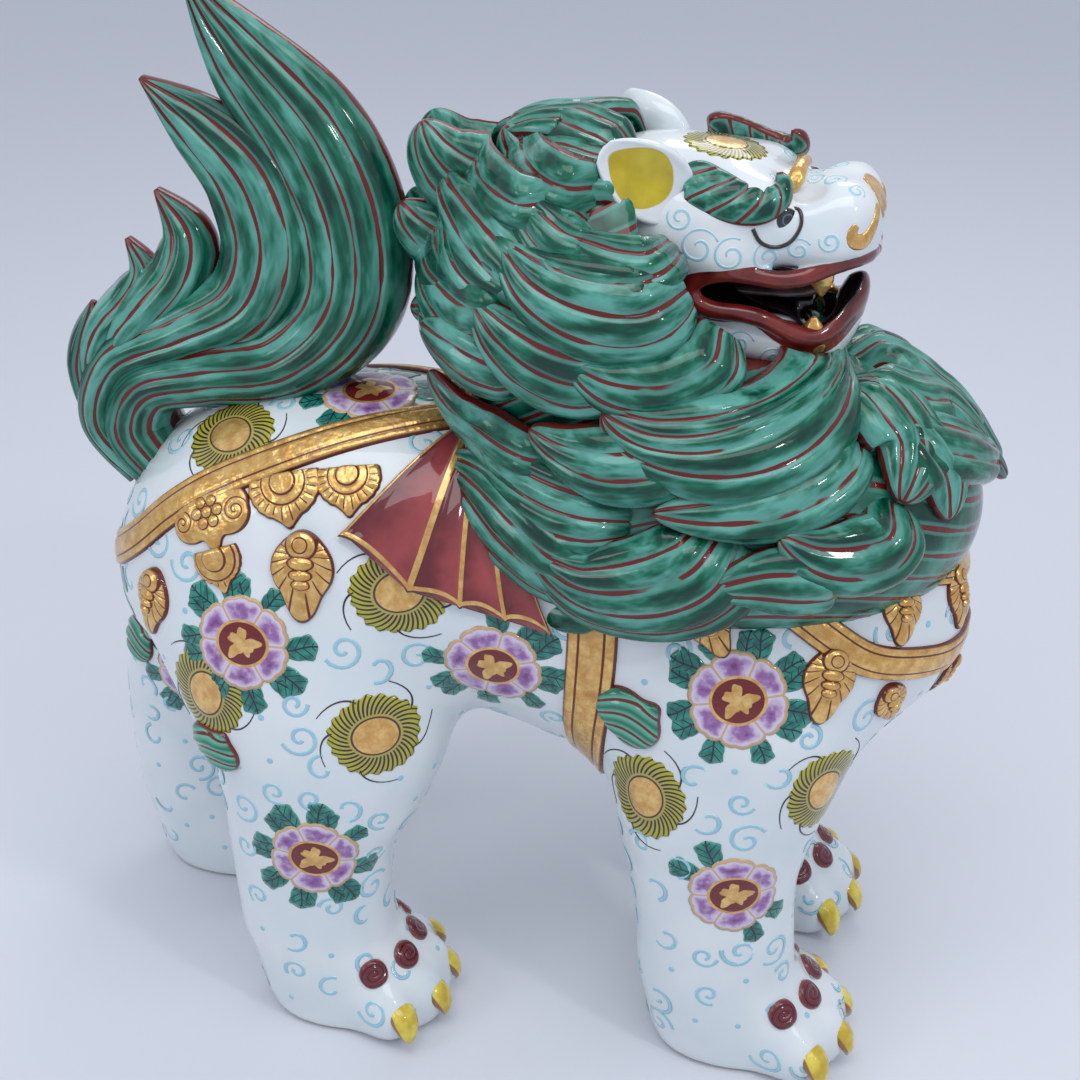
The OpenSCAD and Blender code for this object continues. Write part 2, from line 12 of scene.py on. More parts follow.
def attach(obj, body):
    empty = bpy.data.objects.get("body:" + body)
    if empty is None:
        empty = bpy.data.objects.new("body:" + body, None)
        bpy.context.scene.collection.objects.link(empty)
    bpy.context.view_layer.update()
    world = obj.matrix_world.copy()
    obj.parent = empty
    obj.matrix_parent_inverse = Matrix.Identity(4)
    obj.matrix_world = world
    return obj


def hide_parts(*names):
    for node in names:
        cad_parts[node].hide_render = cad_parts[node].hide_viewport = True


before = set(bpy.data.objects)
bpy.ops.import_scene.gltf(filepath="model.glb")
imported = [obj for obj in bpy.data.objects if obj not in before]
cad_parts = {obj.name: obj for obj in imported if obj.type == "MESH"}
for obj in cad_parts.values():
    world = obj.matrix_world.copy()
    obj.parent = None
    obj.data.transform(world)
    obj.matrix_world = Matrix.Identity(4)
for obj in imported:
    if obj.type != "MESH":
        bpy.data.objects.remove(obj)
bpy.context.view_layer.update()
started = time.time()
shiftX = 6.8  # the drawing's x runs from the shoulders, the frame's from the middle of the length


def report(words):
    print(f"[{time.time() - started:6.1f} s] {words}")


def toFrame(points):  # drawing in mm to the frame in metres
    points = np.asarray(points, float).copy()
    points[..., 0] += shiftX
    return points * 0.001


def along(points, t):  # smooth curve through points at shares t of its length in knots
    p = np.asarray(points, float)
    s = np.clip(np.asarray(t, float), 0, 1) * (len(p) - 1)
    i = np.minimum(s.astype(int), len(p) - 2)
    f = (s - i)[..., None]
    a, b = p[np.maximum(i - 1, 0)], p[i]
    c, d = p[i + 1], p[np.minimum(i + 2, len(p) - 1)]
    return 0.5 * (2 * b + (c - a) * f + (2 * a - 5 * b + 4 * c - d) * f**2 + (3 * b - a - 3 * c + d) * f**3)


def byStation(stations, x):  # rows of values at x, smooth between the stations' first column
    s = np.asarray(stations, float)
    share = np.interp(x, s[:, 0], np.arange(len(s))) / (len(s) - 1)
    lo = np.clip(x, s[0, 0], s[-1, 0])
    for _ in range(3):  # bend the share until the smooth curve passes through x
        share = np.clip(share + (lo - along(s, share)[..., 0]) / (s[-1, 0] - s[0, 0]) * 0.9, 0, 1)
    return along(s, share)


def lengths(points):  # how far along a row of points each one lies
    return np.concatenate([[0], np.cumsum(np.linalg.norm(np.diff(points, axis=0), axis=1))])


def stacked(*parts):  # vectors from their parts, each spread over the whole grid
    return np.stack(np.broadcast_arrays(*parts), -1)


def ringAngles(count):
    return np.arange(count) / count * 2 * math.pi


def unit(v):
    return v / np.maximum(np.linalg.norm(v, axis=-1, keepdims=True), 1e-9)


def step(lo, hi, x):
    t = np.clip((x - lo) / (hi - lo), 0, 1)
    return t * t * (3 - 2 * t)


def blend(a, b, k):  # smooth union of two distance fields
    h = np.maximum(k - np.abs(a - b), 0) / k
    return np.minimum(a, b) - h * h * k * 0.25


def carve(a, b, k):  # smooth removal of b from a
    return -blend(-a, b, k)


# the clay is worked out as distance fields on a grid and then skinned
class Clay:
    def __init__(self, low, high, cell):
        self.low, self.cell = np.asarray(low, float), cell
        self.shape = tuple(int(math.ceil((h - l) / cell)) + 1 for l, h in zip(low, high))
        self.x, self.y, self.z = (
            (l + cell * np.arange(n)).astype(np.float32) for l, n in zip(low, self.shape)
        )

    def axes(self):
        return self.x[:, None, None], self.y[None, :, None], self.z[None, None, :]

    def near(self, low, high):  # the part of the grid between two corners, and its axes
        cut = []
        for l, h, o, n in zip(low, high, self.low, self.shape):
            a = max(0, int((l - o) / self.cell))
            cut.append(slice(a, max(a + 1, min(n, int((h - o) / self.cell) + 2))))
        x, y, z = cut
        return (x, y, z), (self.x[x, None, None], self.y[None, y, None], self.z[None, None, z])

    def skin(self, field):
        grid = openvdb.FloatGrid()
        grid.background = float(self.cell * 3)
        grid.copyFromArray(np.clip(field, -self.cell * 3, self.cell * 3).astype(np.float32))
        points, quads = grid.convertToQuads(0.0)
        return points * self.cell + self.low, np.asarray(quads)

    def normals(self, field, points):  # the way out of the clay at points
        gradient = np.stack(np.gradient(field, self.cell), axis=-1)
        return unit(np.stack([self.sample(gradient[..., k], points) for k in range(3)], axis=-1))

    def sample(self, field, points):  # trilinear reading of a field at points
        q = (points - self.low) / self.cell
        q = np.clip(q, 0, np.array(self.shape) - 1.001)
        i = q.astype(int)
        f = q - i
        out = 0
        for dx in (0, 1):
            for dy in (0, 1):
                for dz in (0, 1):
                    w = np.abs(1 - dx - f[:, 0]) * np.abs(1 - dy - f[:, 1]) * np.abs(1 - dz - f[:, 2])
                    out = out + w * field[i[:, 0] + dx, i[:, 1] + dy, i[:, 2] + dz]
        return out


def roundField(du, dv, a, b, e=2.0):  # distance to a rounded outline with half sizes a and b
    n = ((np.abs(du) / a) ** e + (np.abs(dv) / b) ** e) ** (1 / e)
    r = np.sqrt(du * du + dv * dv)
    n = np.maximum(n, 1e-3)
    return np.where(r < 1e-3, -np.minimum(a, b), r * (1 - 1 / n))


def egg(axes, centre, radii, turn=0.0, tilt=0.0):  # distance to an ellipsoid turned about Z, then tilted
    x, y, z = (a - c for a, c in zip(axes, centre))
    c, s = math.cos(turn), math.sin(turn)
    u, v = x * c + y * s, y * c - x * s
    c, s = math.cos(tilt), math.sin(tilt)
    u, w = u * c + z * s, z * c - u * s
    n = np.sqrt((u / radii[0]) ** 2 + (v / radii[1]) ** 2 + (w / radii[2]) ** 2)
    g = np.sqrt((u / radii[0] ** 2) ** 2 + (v / radii[1] ** 2) ** 2 + (w / radii[2] ** 2) ** 2)
    return n * (n - 1) / np.maximum(g, 1e-6)


def spawn(name, points, faces, smooth=True):  # a new object from points in the frame's metres
    mesh = bpy.data.meshes.new(name)
    faces = [tuple(int(i) for i in f) for f in faces]
    mesh.from_pydata([tuple(p) for p in np.asarray(points, float)], [], faces)
    mesh.validate()
    mesh.polygons.foreach_set("use_smooth", [smooth] * len(mesh.polygons))
    thing = bpy.data.objects.new(name, mesh)
    bpy.context.scene.collection.objects.link(thing)
    return thing


def cutOut(name, points, quads, normals):  # one piece of a skin, shaded as the whole skin
    used, index = np.unique(quads, return_inverse=True)
    thing = spawn(name, points[used], index.reshape(quads.shape))
    thing.data.normals_split_custom_set_from_vertices([tuple(v) for v in normals[used]])
    return thing, used


def paint(thing, name, values):  # a number at each point, for a material to read
    layer = thing.data.attributes.new(name, "FLOAT", "POINT")
    layer.data.foreach_set("value", np.asarray(values, np.float32))


def paintVector(thing, name, values):
    layer = thing.data.attributes.new(name, "FLOAT_VECTOR", "POINT")
    layer.data.foreach_set("vector", np.asarray(values, np.float32).reshape(-1))


def settle(thing, slotName, *nodes):
    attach(thing, "root")
    if nodes:
        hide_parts(*nodes)
    return thing


trunkShape = {
    "stations": [
        [-147, 168, 8, 9], [-141, 170, 25, 27], [-128, 174, 40, 42], [-108, 178, 52, 53],
        [-80, 181, 58, 58], [-45, 182, 59, 58], [-12, 179, 57, 57], [18, 171, 57, 60],
        [50, 165, 60, 64], [80, 165, 61, 62], [105, 166, 57, 56], [125, 168, 49, 46],
        [143, 170, 34, 33], [152, 171, 20, 19], [156, 171, 8, 8],
    ],
    "cell": 1.7,
    "haunch": 15,  # how softly a leg runs into the trunk
}
frontLeg = [  # height, x, y, half length, half width, from the leg's own line
    [0, 14, 0, 31.5, 19], [3, 14, 0, 34, 21], [12, 12, 0, 35, 22], [22, 8, 0, 33, 22.5], [31, 4, 0, 31, 22.5],
    [40, 1, 0, 29, 22.5], [56, 0, 0, 28.5, 23], [78, -2, 0, 30, 24], [100, -2, -1, 35, 27],
    [125, 0, -3, 41, 30], [148, 2, -5, 42, 31], [170, 2, -9, 34, 26], [186, 2, -13, 20, 15],
]
legShapes = {  # place of the leg's line, side, middle of the toes, and its stations as in frontLeg
    "leg_hind_right": (-66, -1, 6, [
        [0, 7, 0, 31, 19], [3, 7, 0, 33, 21], [12, 5, 0, 34, 22], [22, 2, 0, 32.5, 22.5],
        [31, -2, 0, 30.5, 22.5], [40, -6, 0, 29, 22.5], [58, -7, 0, 29, 23],
        [78, -6, 0, 31, 24], [98, -1, -1, 37, 27],
        [120, 1, -3, 44, 30], [142, -4, -5, 49, 31], [165, -10, -8, 46, 29], [184, -14, -11, 35, 22],
        [196, -16, -14, 20, 13]]),
    "leg_hind_left": (-135, 1, 6, [
        [0, 6, 0, 31, 19], [3, 6, 0, 33, 21], [12, 4, 0, 34, 22], [22, 1, 0, 32.5, 22.5],
        [31, -3, 0, 30.5, 22.5], [40, -7, 0, 29, 22.5], [58, -8, 0, 29, 23],
        [78, -6, 0, 31, 24], [98, 1, -1, 36, 27],
        [120, 14, -3, 42, 30], [142, 30, -5, 46, 31], [165, 44, -8, 44, 29], [184, 52, -11, 34, 22],
        [196, 56, -14, 20, 13]]),
    "leg_front_right": (76, -1, 14, frontLeg),
    "leg_front_left": (82, 1, 14, frontLeg),
}
legLine = 41  # how far each leg's line is from the middle
toes = {"angles": [-50, -17, 16, 49], "reach": 24, "size": (13.5, 9.8, 13.0), "height": 12.5, "crease": 8.0}


def legField(clay, stations, x, side):
    gx, gy, gz = clay.axes()
    s = byStation(stations, clay.z)
    cx, cy, a, b = (s[:, k][None, None, :] for k in (1, 2, 3, 4))
    d = roundField(gx - x - cx, gy - side * (legLine + cy), np.maximum(a, 2), np.maximum(b, 2), 2.25)
    top = stations[-1][0]
    return -blend(-d, top + 4 - gz, 14)


def toeSpots(x, side, centre, reach):
    for a in toes["angles"]:
        c, s = math.cos(math.radians(a)), math.sin(math.radians(a))
        yield x + centre + reach * c, side * legLine + reach * 0.92 * s, math.radians(a)


def bodyClay():
    clay = Clay((-182, -74, -8), (170, 74, 250), trunkShape["cell"])
    gx, gy, gz = clay.axes()
    s = byStation(trunkShape["stations"], clay.x)
    cz, a, b = (s[:, k][:, None, None] for k in (1, 2, 3))
    trunk = roundField(gy + 0 * gx, gz - cz, np.maximum(a, 2), np.maximum(b, 2))
    trunk = -blend(-trunk, np.broadcast_to(gx + 149, trunk.shape), 10)
    trunk = -blend(-trunk, np.broadcast_to(157 - gx, trunk.shape), 10)
    fields = {"trunk_shell": trunk}
    whole = trunk
    for name, (x, side, centre, stations) in legShapes.items():
        leg = legField(clay, stations, x, side)
        for tx, ty, a in toeSpots(x, side, centre, toes["reach"]):
            cut, axes = clay.near((tx - 24, ty - 24, -8), (tx + 24, ty + 24, 44))
            toe = egg(axes, (tx, ty, toes["height"]), toes["size"], a, math.radians(18))
            leg[cut] = blend(leg[cut], toe, toes["crease"])
        fields[name] = leg
        whole = blend(whole, leg, trunkShape["haunch"])
    sole = np.broadcast_to(gz, whole.shape)
    return clay, fields, -blend(-whole, sole, 2.0)


def bodyPieces():
    clay, fields, whole = bodyClay()
    points, quads = clay.skin(whole)
    low = points[:, 2] < 0.35
    points[low, 2] = 0.0  # the ground-flat soles
    owner = np.argmin(np.stack([clay.sample(f, points) for f in fields.values()]), axis=0)
    normal = clay.normals(whole, points)
    normal[low] = unit(normal[low] * (1, 1, 0.3) - (0, 0, 1))
    faceOwner = np.array([np.bincount(owner[q], minlength=5).argmax() for q in quads])
    things = []
    for k, name in enumerate(fields):
        title = name.replace("leg", "clayLeg").replace("trunk_shell", "clayTrunk")
        thing, _ = cutOut(title, toFrame(points), quads[faceOwner == k], normal)
        thing.data.materials.append(porcelain)
        things.append(settle(thing, "white_porcelain", name))
    report(f"trunk and legs: {len(quads)} faces")
    return things


# glazes and enamels
def node(tree, kind, inputs=(), **settings):
    made = tree.nodes.new(kind)
    for key, value in settings.items():
        setattr(made, key, value)
    for key, value in dict(inputs).items():
        join(tree, value, made.inputs[key])
    return made


def join(tree, value, socket):  # a flow, an output or a plain value into an input
    value = value.socket if isinstance(value, Flow) else value
    if isinstance(value, bpy.types.NodeSocket):
        tree.links.new(value, socket)
    else:
        socket.default_value = value


def calc(operation, a, b=0.0):
    tree = (a if isinstance(a, Flow) else b).tree
    return Flow(node(tree, "ShaderNodeMath", {0: a, 1: b}, operation=operation).outputs[0])


class Flow:  # a value running through a material's nodes, reckoned with like a number
    def __init__(self, socket):
        self.socket, self.tree = socket, socket.id_data

    def __add__(self, other):
        return calc("ADD", self, other)

    def __radd__(self, other):
        return calc("ADD", other, self)

    def __sub__(self, other):
        return calc("SUBTRACT", self, other)

    def __rsub__(self, other):
        return calc("SUBTRACT", other, self)

    def __mul__(self, other):
        return calc("MULTIPLY", self, other)

    def __truediv__(self, other):
        return calc("DIVIDE", self, other)

    def __pow__(self, other):
        return calc("POWER", self, other)

    def __abs__(self):
        return calc("ABSOLUTE", self)


def reading(tree, name):  # a painted number
    return Flow(node(tree, "ShaderNodeAttribute", attribute_name=name).outputs["Fac"])


def vectorOf(tree, name):  # a painted vector
    return node(tree, "ShaderNodeAttribute", attribute_name=name).outputs["Vector"]


def mottle(tree, scale, detail, place=None, **more):  # uneven noise over the object, or over a given place
    place = place or node(tree, "ShaderNodeTexCoord").outputs["Object"]
    inputs = {"Vector": place, "Scale": scale, "Detail": detail, **more}
    return Flow(node(tree, "ShaderNodeTexNoise", inputs).outputs[0])


def ramp(value, low, high, out=(0.0, 1.0)):
    return Flow(node(value.tree, "ShaderNodeMapRange", {0: value, 1: low, 2: high, 3: out[0], 4: out[1]},
                     interpolation_type="SMOOTHSTEP").outputs[0])


def fade(value, low, high):  # 1 below low, 0 above high
    return ramp(value, low, high, (1.0, 0.0))


def mix(share, a, b):
    return Flow(node(share.tree, "ShaderNodeMix", {0: share, 6: a, 7: b}, data_type="RGBA").outputs[2])


def groupSockets(group, ins, outs):
    for name, value in ins:
        made = group.interface.new_socket(name=name, in_out="INPUT", socket_type="NodeSocketFloat")
        made.default_value = value
    for name, kind in outs:
        group.interface.new_socket(name=name, in_out="OUTPUT", socket_type="NodeSocket" + kind)


def glazeRippleGroup():  # the uneven surface and pooled tint of a thick glaze
    group = bpy.data.node_groups.new("glazeRipple", "ShaderNodeTree")
    groupSockets(group, [("Size", 60.0), ("Depth", 0.2)], [("Pool", "Float"), ("Normal", "Vector")])
    take, give = node(group, "NodeGroupInput"), node(group, "NodeGroupOutput")
    place = node(group, "ShaderNodeTexCoord").outputs["Object"]
    wide = mottle(group, take.outputs[0], 2.0, place)
    height = wide + mottle(group, 900.0, 1.0, place) * 0.03
    bump = node(group, "ShaderNodeBump", {"Height": height, "Strength": take.outputs[1], "Distance": 0.002})
    join(group, wide, give.inputs[0])
    join(group, bump.outputs[0], give.inputs[1])
    return group


def penLineGroup():  # a drawn line with a pale margin, from a distance in mm
    group = bpy.data.node_groups.new("penLine", "ShaderNodeTree")
    groupSockets(group, [("Distance", 1.0), ("Width", 0.9), ("Margin", 0.7)],
                 [("Line", "Float"), ("Pale", "Float")])
    take, give = node(group, "NodeGroupInput"), node(group, "NodeGroupOutput")
    distance, width, margin = (Flow(take.outputs[k]) for k in range(3))
    past = distance - width * ramp(mottle(group, 70.0, 2.0), 0.3, 0.7, (0.34, 0.66))
    join(group, fade(past, -0.07, 0.07), give.inputs[0])
    join(group, fade(past / margin, 0.55, 1.25), give.inputs[1])
    return group


glazeRipple, penLine = glazeRippleGroup(), penLineGroup()
oxblood = (0.135, 0.012, 0.010, 1)
glazeShine = {"Specular IOR Level": 0.15, "Coat Roughness": 0.035, "Coat IOR": 1.5}


def enamel(name, rough, size, depth, coat=1.0):  # a glossy material, its nodes and its glaze's pools
    material = bpy.data.materials.new(name)
    material.use_nodes = True
    tree = material.node_tree
    shader = tree.nodes["Principled BSDF"]
    for key, value in {**glazeShine, "Roughness": rough, "Coat Weight": coat}.items():
        shader.inputs[key].default_value = value
    glaze = node(tree, "ShaderNodeGroup", {"Size": size, "Depth": depth}, node_tree=glazeRipple)
    tree.links.new(glaze.outputs["Normal"], shader.inputs["Normal"])
    return material, tree, Flow(glaze.outputs["Pool"])


def dress(material, colour, **others):  # the nodes' colour, and other inputs by name, into the material
    shader = material.node_tree.nodes["Principled BSDF"]
    for key, value in {"Base Color": colour, **others}.items():
        join(material.node_tree, value, shader.inputs[key])
    return material


def usePen(distance, width, margin):
    pen = node(distance.tree, "ShaderNodeGroup", {"Distance": distance, "Width": width, "Margin": margin},
               node_tree=penLine)
    return Flow(pen.outputs["Line"]), Flow(pen.outputs["Pale"])


def porcelainMaterial():
    material, tree, pool = enamel("glazedPorcelain", 0.28, 38.0, 0.10)
    white = mix(ramp(pool, 0.3, 0.75), (0.66, 0.725, 0.76, 1), (0.74, 0.775, 0.80, 1))
    place = node(tree, "ShaderNodeTexCoord").outputs["Object"]
    height = Flow(node(tree, "ShaderNodeSeparateXYZ", {0: place}).outputs[2])
    bare = fade(height + pool * 0.0012, 0.0012, 0.0022)
    colour = mix(bare, white, (0.66, 0.60, 0.52, 1))
    return dress(material, colour)


def jadeMaterial(name, lineWidth, deep, light, slanted=0):
    material, tree, pool = enamel(name, 0.25, 140.0, 0.40, 0.65)
    away = reading(tree, "lineMm")
    if slanted:  # lines at steps along a slant as well as at the edge
        turns = calc("FRACT", reading(tree, "slant") / slanted)
        gap = (0.5 - abs(turns - 0.5)) * slanted
        away = calc("MINIMUM", away, gap)
    line, pale = usePen(away, lineWidth, 1.1)
    wash = mottle(tree, 1.0, 3.0, vectorOf(tree, "flow"), Roughness=0.6)
    across = reading(tree, "phase")
    tone = reading(tree, "tone")
    depth = across * 0.45 + wash * 3.0
    depth = depth + tone * 0.3
    body = mix(ramp(depth, 1.2, 1.95), light, deep)
    dark = mix(ramp(depth, 1.75, 2.3), body, (0.0, 0.038, 0.026, 1))
    edged = mix(pale * 0.45, dark, (0.13, 0.36, 0.31, 1))
    colour = mix(line, edged, oxblood)
    return dress(material, colour)


porcelain = porcelainMaterial()
jadeTones = (0.0, 0.115, 0.064, 1), (0.105, 0.36, 0.30, 1)
maneJade = jadeMaterial("maneJade", 1.2, *jadeTones)


# mane: locks laid on the neck
neckEggs = [((33, 0, 272), (66, 56, 62)), ((67, 0, 208), (92, 70, 56))]


def neckField(p):
    parts = []
    for centre, radii in neckEggs:
        q = p - np.array(centre, float)
        n = np.linalg.norm(q / radii, axis=-1)
        g = np.linalg.norm(q / np.square(radii), axis=-1)
        parts.append(n * (n - 1) / np.maximum(g, 1e-6))
    return blend(parts[0], parts[1], 18.0)


def ontoNeck(points, rounds=4):
    p = np.array(points, float)
    for _ in range(rounds):
        g = np.stack([neckField(p + d) - neckField(p - d) for d in np.eye(3) * 0.5], axis=-1)
        g = unit(g)
        p = p - g * neckField(p)[..., None]
    return p, g


def neckHalfWidth(x, z):
    parts = []
    for (cx, _, cz), (a, b, c) in neckEggs:
        k = 1 - ((x - cx) / a) ** 2 - ((z - cz) / c) ** 2
        parts.append(b * np.sqrt(np.maximum(k, 0)))
    return (parts[0] ** 4 + parts[1] ** 4) ** 0.25


def lockProfile(t):
    return t**0.72 * (1.1 - t) ** 0.5 / 0.463


def gridFaces(rows, columns, first=0):  # quads of a tube of rings
    faces = []
    for r in range(rows - 1):
        for c in range(columns):
            d = (c + 1) % columns
            a = first + r * columns
            faces.append((a + c, a + d, a + columns + d, a + columns + c))
    faces.append(tuple(first + c for c in range(columns))[::-1])
    faces.append(tuple(first + (rows - 1) * columns + c for c in range(columns)))
    return faces


class Sheaf:  # gathers locks into one piece with their painting
    def __init__(self):
        self.points, self.faces, self.marks = [], [], {"lineMm": [], "phase": [], "tone": []}
        self.flow, self.count = [], 0

    def add(self, rings, lineMm, phase, tone, flow):  # rings: rows x columns x 3
        rows, columns = rings.shape[:2]
        self.faces += gridFaces(rows, columns, self.count)
        self.points.append(rings.reshape(-1, 3))
        for key, value in (("lineMm", lineMm), ("phase", phase), ("tone", tone)):
            self.marks[key].append(np.broadcast_to(value, (rows, columns)).reshape(-1))
        self.flow.append(flow.reshape(-1, 3))
        self.count += rows * columns

    def make(self, name, material):
        thing = spawn(name, toFrame(np.concatenate(self.points)), self.faces)
        for key, parts in self.marks.items():
            paint(thing, key, np.concatenate(parts))
        paintVector(thing, "flow", np.concatenate(self.flow))
        outward(thing)
        thing.data.materials.append(material)
        return thing


def outward(thing):
    work = bmesh.new()
    work.from_mesh(thing.data)
    bmesh.ops.recalc_face_normals(work, faces=work.faces)
    work.to_mesh(thing.data)
    work.free()


maneStyle = {"relief": 6.0, "ridge": 2.0, "fullness": 1.34, "rows": 40, "perStrand": 8}


def strandMarks(v, count, halfWidth):  # distance to the nearest line in mm, and 0 on a line to 1 between
    s = (v + 1) * 0.5 * count
    off = np.abs(s - np.round(s))
    return off * 2 / count * halfWidth, np.clip(off * 2, 0, 1)


def addLock(sheaf, path, width, side, lift, swell, seed, standing=0):
    style = maneStyle
    rng = np.random.default_rng(seed)
    path = np.array([list(q) + [0] * (3 - len(q)) for q in path], float)
    t = np.linspace(0.012, 1, style["rows"]) ** 1.1

    def spine(share):
        q = along(path, share)
        y = side * np.maximum(neckHalfWidth(q[:, 0], q[:, 1]) - q[:, 2], 7)
        return np.stack([q[:, 0], y, q[:, 1]], axis=-1)

    centre = spine(t)
    forward = unit(spine(np.minimum(t + 0.04, 1)) - spine(np.maximum(t - 0.04, 0)))
    free = np.maximum(step(1, 8, neckField(centre)), standing)[:, None]  # clear of the neck
    beside = np.array((0.0, side, 0.0))
    base, out = ontoNeck(centre)
    out = unit(out * (1 - free) + beside * free)
    out = unit(out - forward * (out * forward).sum(-1, keepdims=True))
    sideways = np.cross(forward, out)
    profile = lockProfile(t)
    half = width / 2 * style["fullness"] * profile
    length = lengths(centre)
    strands = max(3, int(round(width * style["fullness"] / 7.6)))
    n = strands * style["perStrand"]
    s = np.linspace(-1, 1, n + 1)
    v = np.sign(s) * (1 - (1 - np.abs(s)) ** 1.15)
    under = np.linspace(1, -1, 7)[1:-1]
    spread = np.concatenate([v, under])
    q = centre[:, None] + sideways[:, None] * (half[:, None] * spread[None, :])[..., None]
    laid, n2 = ontoNeck(q)
    bend = (laid - base[:, None]) - (q - centre[:, None])
    most = 0.45 * half[:, None, None] / np.maximum(np.linalg.norm(bend, axis=-1, keepdims=True), 1e-6)
    laid = q + bend * np.minimum(most, 1) * (1 - free[:, None])
    n2 = unit(n2 * (1 - free[:, None]) + beside * free[:, None])
    lines, phase = strandMarks(spread[None, :], strands, half[:, None])
    dome = (1 - np.abs(spread) ** 2.4) ** 0.62
    rise = style["relief"] * swell * profile[:, None] ** 0.8 * dome[None, :]
    ridges = style["ridge"] * np.minimum(profile, 1)[:, None] ** 0.7 * np.sin(phase * math.pi / 2) ** 0.75
    tipLift = (lift + 2.0) * (1 - t[:, None]) ** 1.6
    tuck = 7.0 * step(0.80, 1.0, t[:, None])  # the root goes under its neighbours
    top = tipLift + rise + ridges - 1.2 - tuck
    bottom = tipLift - 0.5 * style["relief"] * profile[:, None] ** 0.8 * dome[None, :] - 1.2 - tuck
    isTop = np.arange(len(spread)) <= n
    height = np.where(isTop[None, :], top, bottom)
    rings = laid + n2 * height[..., None]
    tones = rng.uniform(-0.5, 0.5, strands + 1)
    tone = tones[np.clip(((spread + 1) * 0.5 * strands).astype(int), 0, strands)]
    flow = stacked(length[:, None] * 0.055 + seed * 3.7, spread * half[:, None] * 0.16, seed * 1.3)
    sheaf.add(rings, np.where(isTop[None, :], lines, 5.0), phase, tone[None, :], flow)


maneTiers = {  # locks as [x, z] from tip to root, width, lift of the tip, swell
    "nape": [
        [[[-30, 331], [-25, 321], [-15, 313], [2, 308], [18, 309]], 24, 0, 1.4],
        [[[-4, 330], [3, 322], [14, 317], [28, 316]], 19, 0, 1.2],
        [[[-22, 311], [-15, 305], [-5, 297], [10, 292]], 20, 4, 1.2],
        [[[-38, 305], [-32, 298], [-22, 292], [-8, 290]], 17, 0, 1.2],
        [[[-36, 270], [-25, 270], [-10, 272], [2, 276]], 16, 0, 1.1],
        [[[-33, 289], [-24, 284], [-10, 280], [6, 282]], 18, 0, 1.2],
    ],
    "temple": [
        [[[18, 306], [26, 303], [36, 300], [46, 300], [53, 304, 8]], 14, 1, 0.7],
        [[[-4, 328], [8, 331, 2], [22, 331, 1], [38, 328, 2]], 17, 0, 0.5],
        [[[2, 324, 2], [14, 324, 2], [26, 322, 3], [36, 322, 3]], 15, 0, 0.6],
        [[[-21, 311], [-12, 307], [-3, 301], [6, 295], [17, 290]], 16, 4, 1],
        [[[6, 313], [12, 308], [20, 303], [30, 302]], 15, 3, 0.9],
        [[[14, 301], [21, 294], [31, 291], [41, 292], [48, 297]], 15, 4, 1.1],
        [[[2, 316], [10, 312], [18, 310], [26, 310]], 13, 2, 0.8],
    ],
    "cheek": [
        [[[4, 301], [14, 293], [28, 288], [43, 287], [57, 293]], 24, 4, 1.2],
        [[[-4, 285], [4, 277], [15, 270], [28, 267], [42, 272]], 21, 4, 1],
        [[[-22, 274], [-13, 270], [-3, 266], [9, 264]], 16, 4, 1],
    ],
    "jowl": [
        [[[24, 272], [35, 266], [50, 264], [63, 269], [70, 279]], 18, 3, 1.3],
        [[[33, 259], [47, 251], [66, 247], [83, 249], [95, 257], [94, 268]], 30, 4, 1.9],
        [[[12, 250], [23, 244], [36, 241], [51, 243], [64, 248]], 19, 4, 1.1],
    ],
    "shoulder": [
        [[[-22, 258], [-12, 246], [2, 237], [18, 233]], 17, 3, 1],
        [[[-22, 219], [-8, 221], [6, 214], [20, 207], [36, 206]], 26, 3, 1],
        [[[15, 208], [31, 201], [50, 203], [65, 210], [74, 222]], 30, 3, 1.1],
        [[[0, 188], [10, 180], [24, 177], [40, 181]], 19, 2, 0.9],
        [[[-14, 238], [0, 230], [20, 224], [42, 224]], 20, 2, 0.8],
        [[[50, 228], [70, 229], [87, 232], [102, 238], [110, 247]], 18, 2, 1],
    ],
    "breast": [
        [[[69, 208], [83, 210], [96, 209], [110, 208]], 17, 3, 1],
        [[[87, 223], [98, 217], [110, 215], [121, 217], [126, 228]], 19, 3, 1],
        [[[122, 226, 6], [126, 238, 4], [120, 248], [109, 256]], 23, 3, 1.1],
        [[[153, 231, 0], [139, 243, 0], [124, 250], [109, 257]], 18, 0, 1],
        [[[160, 220, 0], [147, 232, 0], [132, 240], [119, 245]], 19, 0, 1],
        [[[138, 217, 8], [137, 228, 6], [131, 239], [120, 249]], 17, 2, 1],
    ],
}


def maneAndNeck():
    seed = 0
    for tier, locks in maneTiers.items():
        for side, hand in ((-1, "right"), (1, "left")):
            sheaf = Sheaf()
            for path, width, lift, swell in locks:
                seed += 1
                addLock(sheaf, path, width, side, lift, swell, seed, tier == "nape")
            settle(sheaf.make(f"maneLocks_{tier}_{hand}", maneJade), "jade_enamel", f"mane_{tier}_{hand}")
    settle(neckCore(), "jade_enamel", "neck_shell")
    report("mane")


coreStyle = {"sunk": 3.0, "strand": 8.0}
coreJade = jadeMaterial("coreJade", 1.25, *jadeTones, coreStyle["strand"])


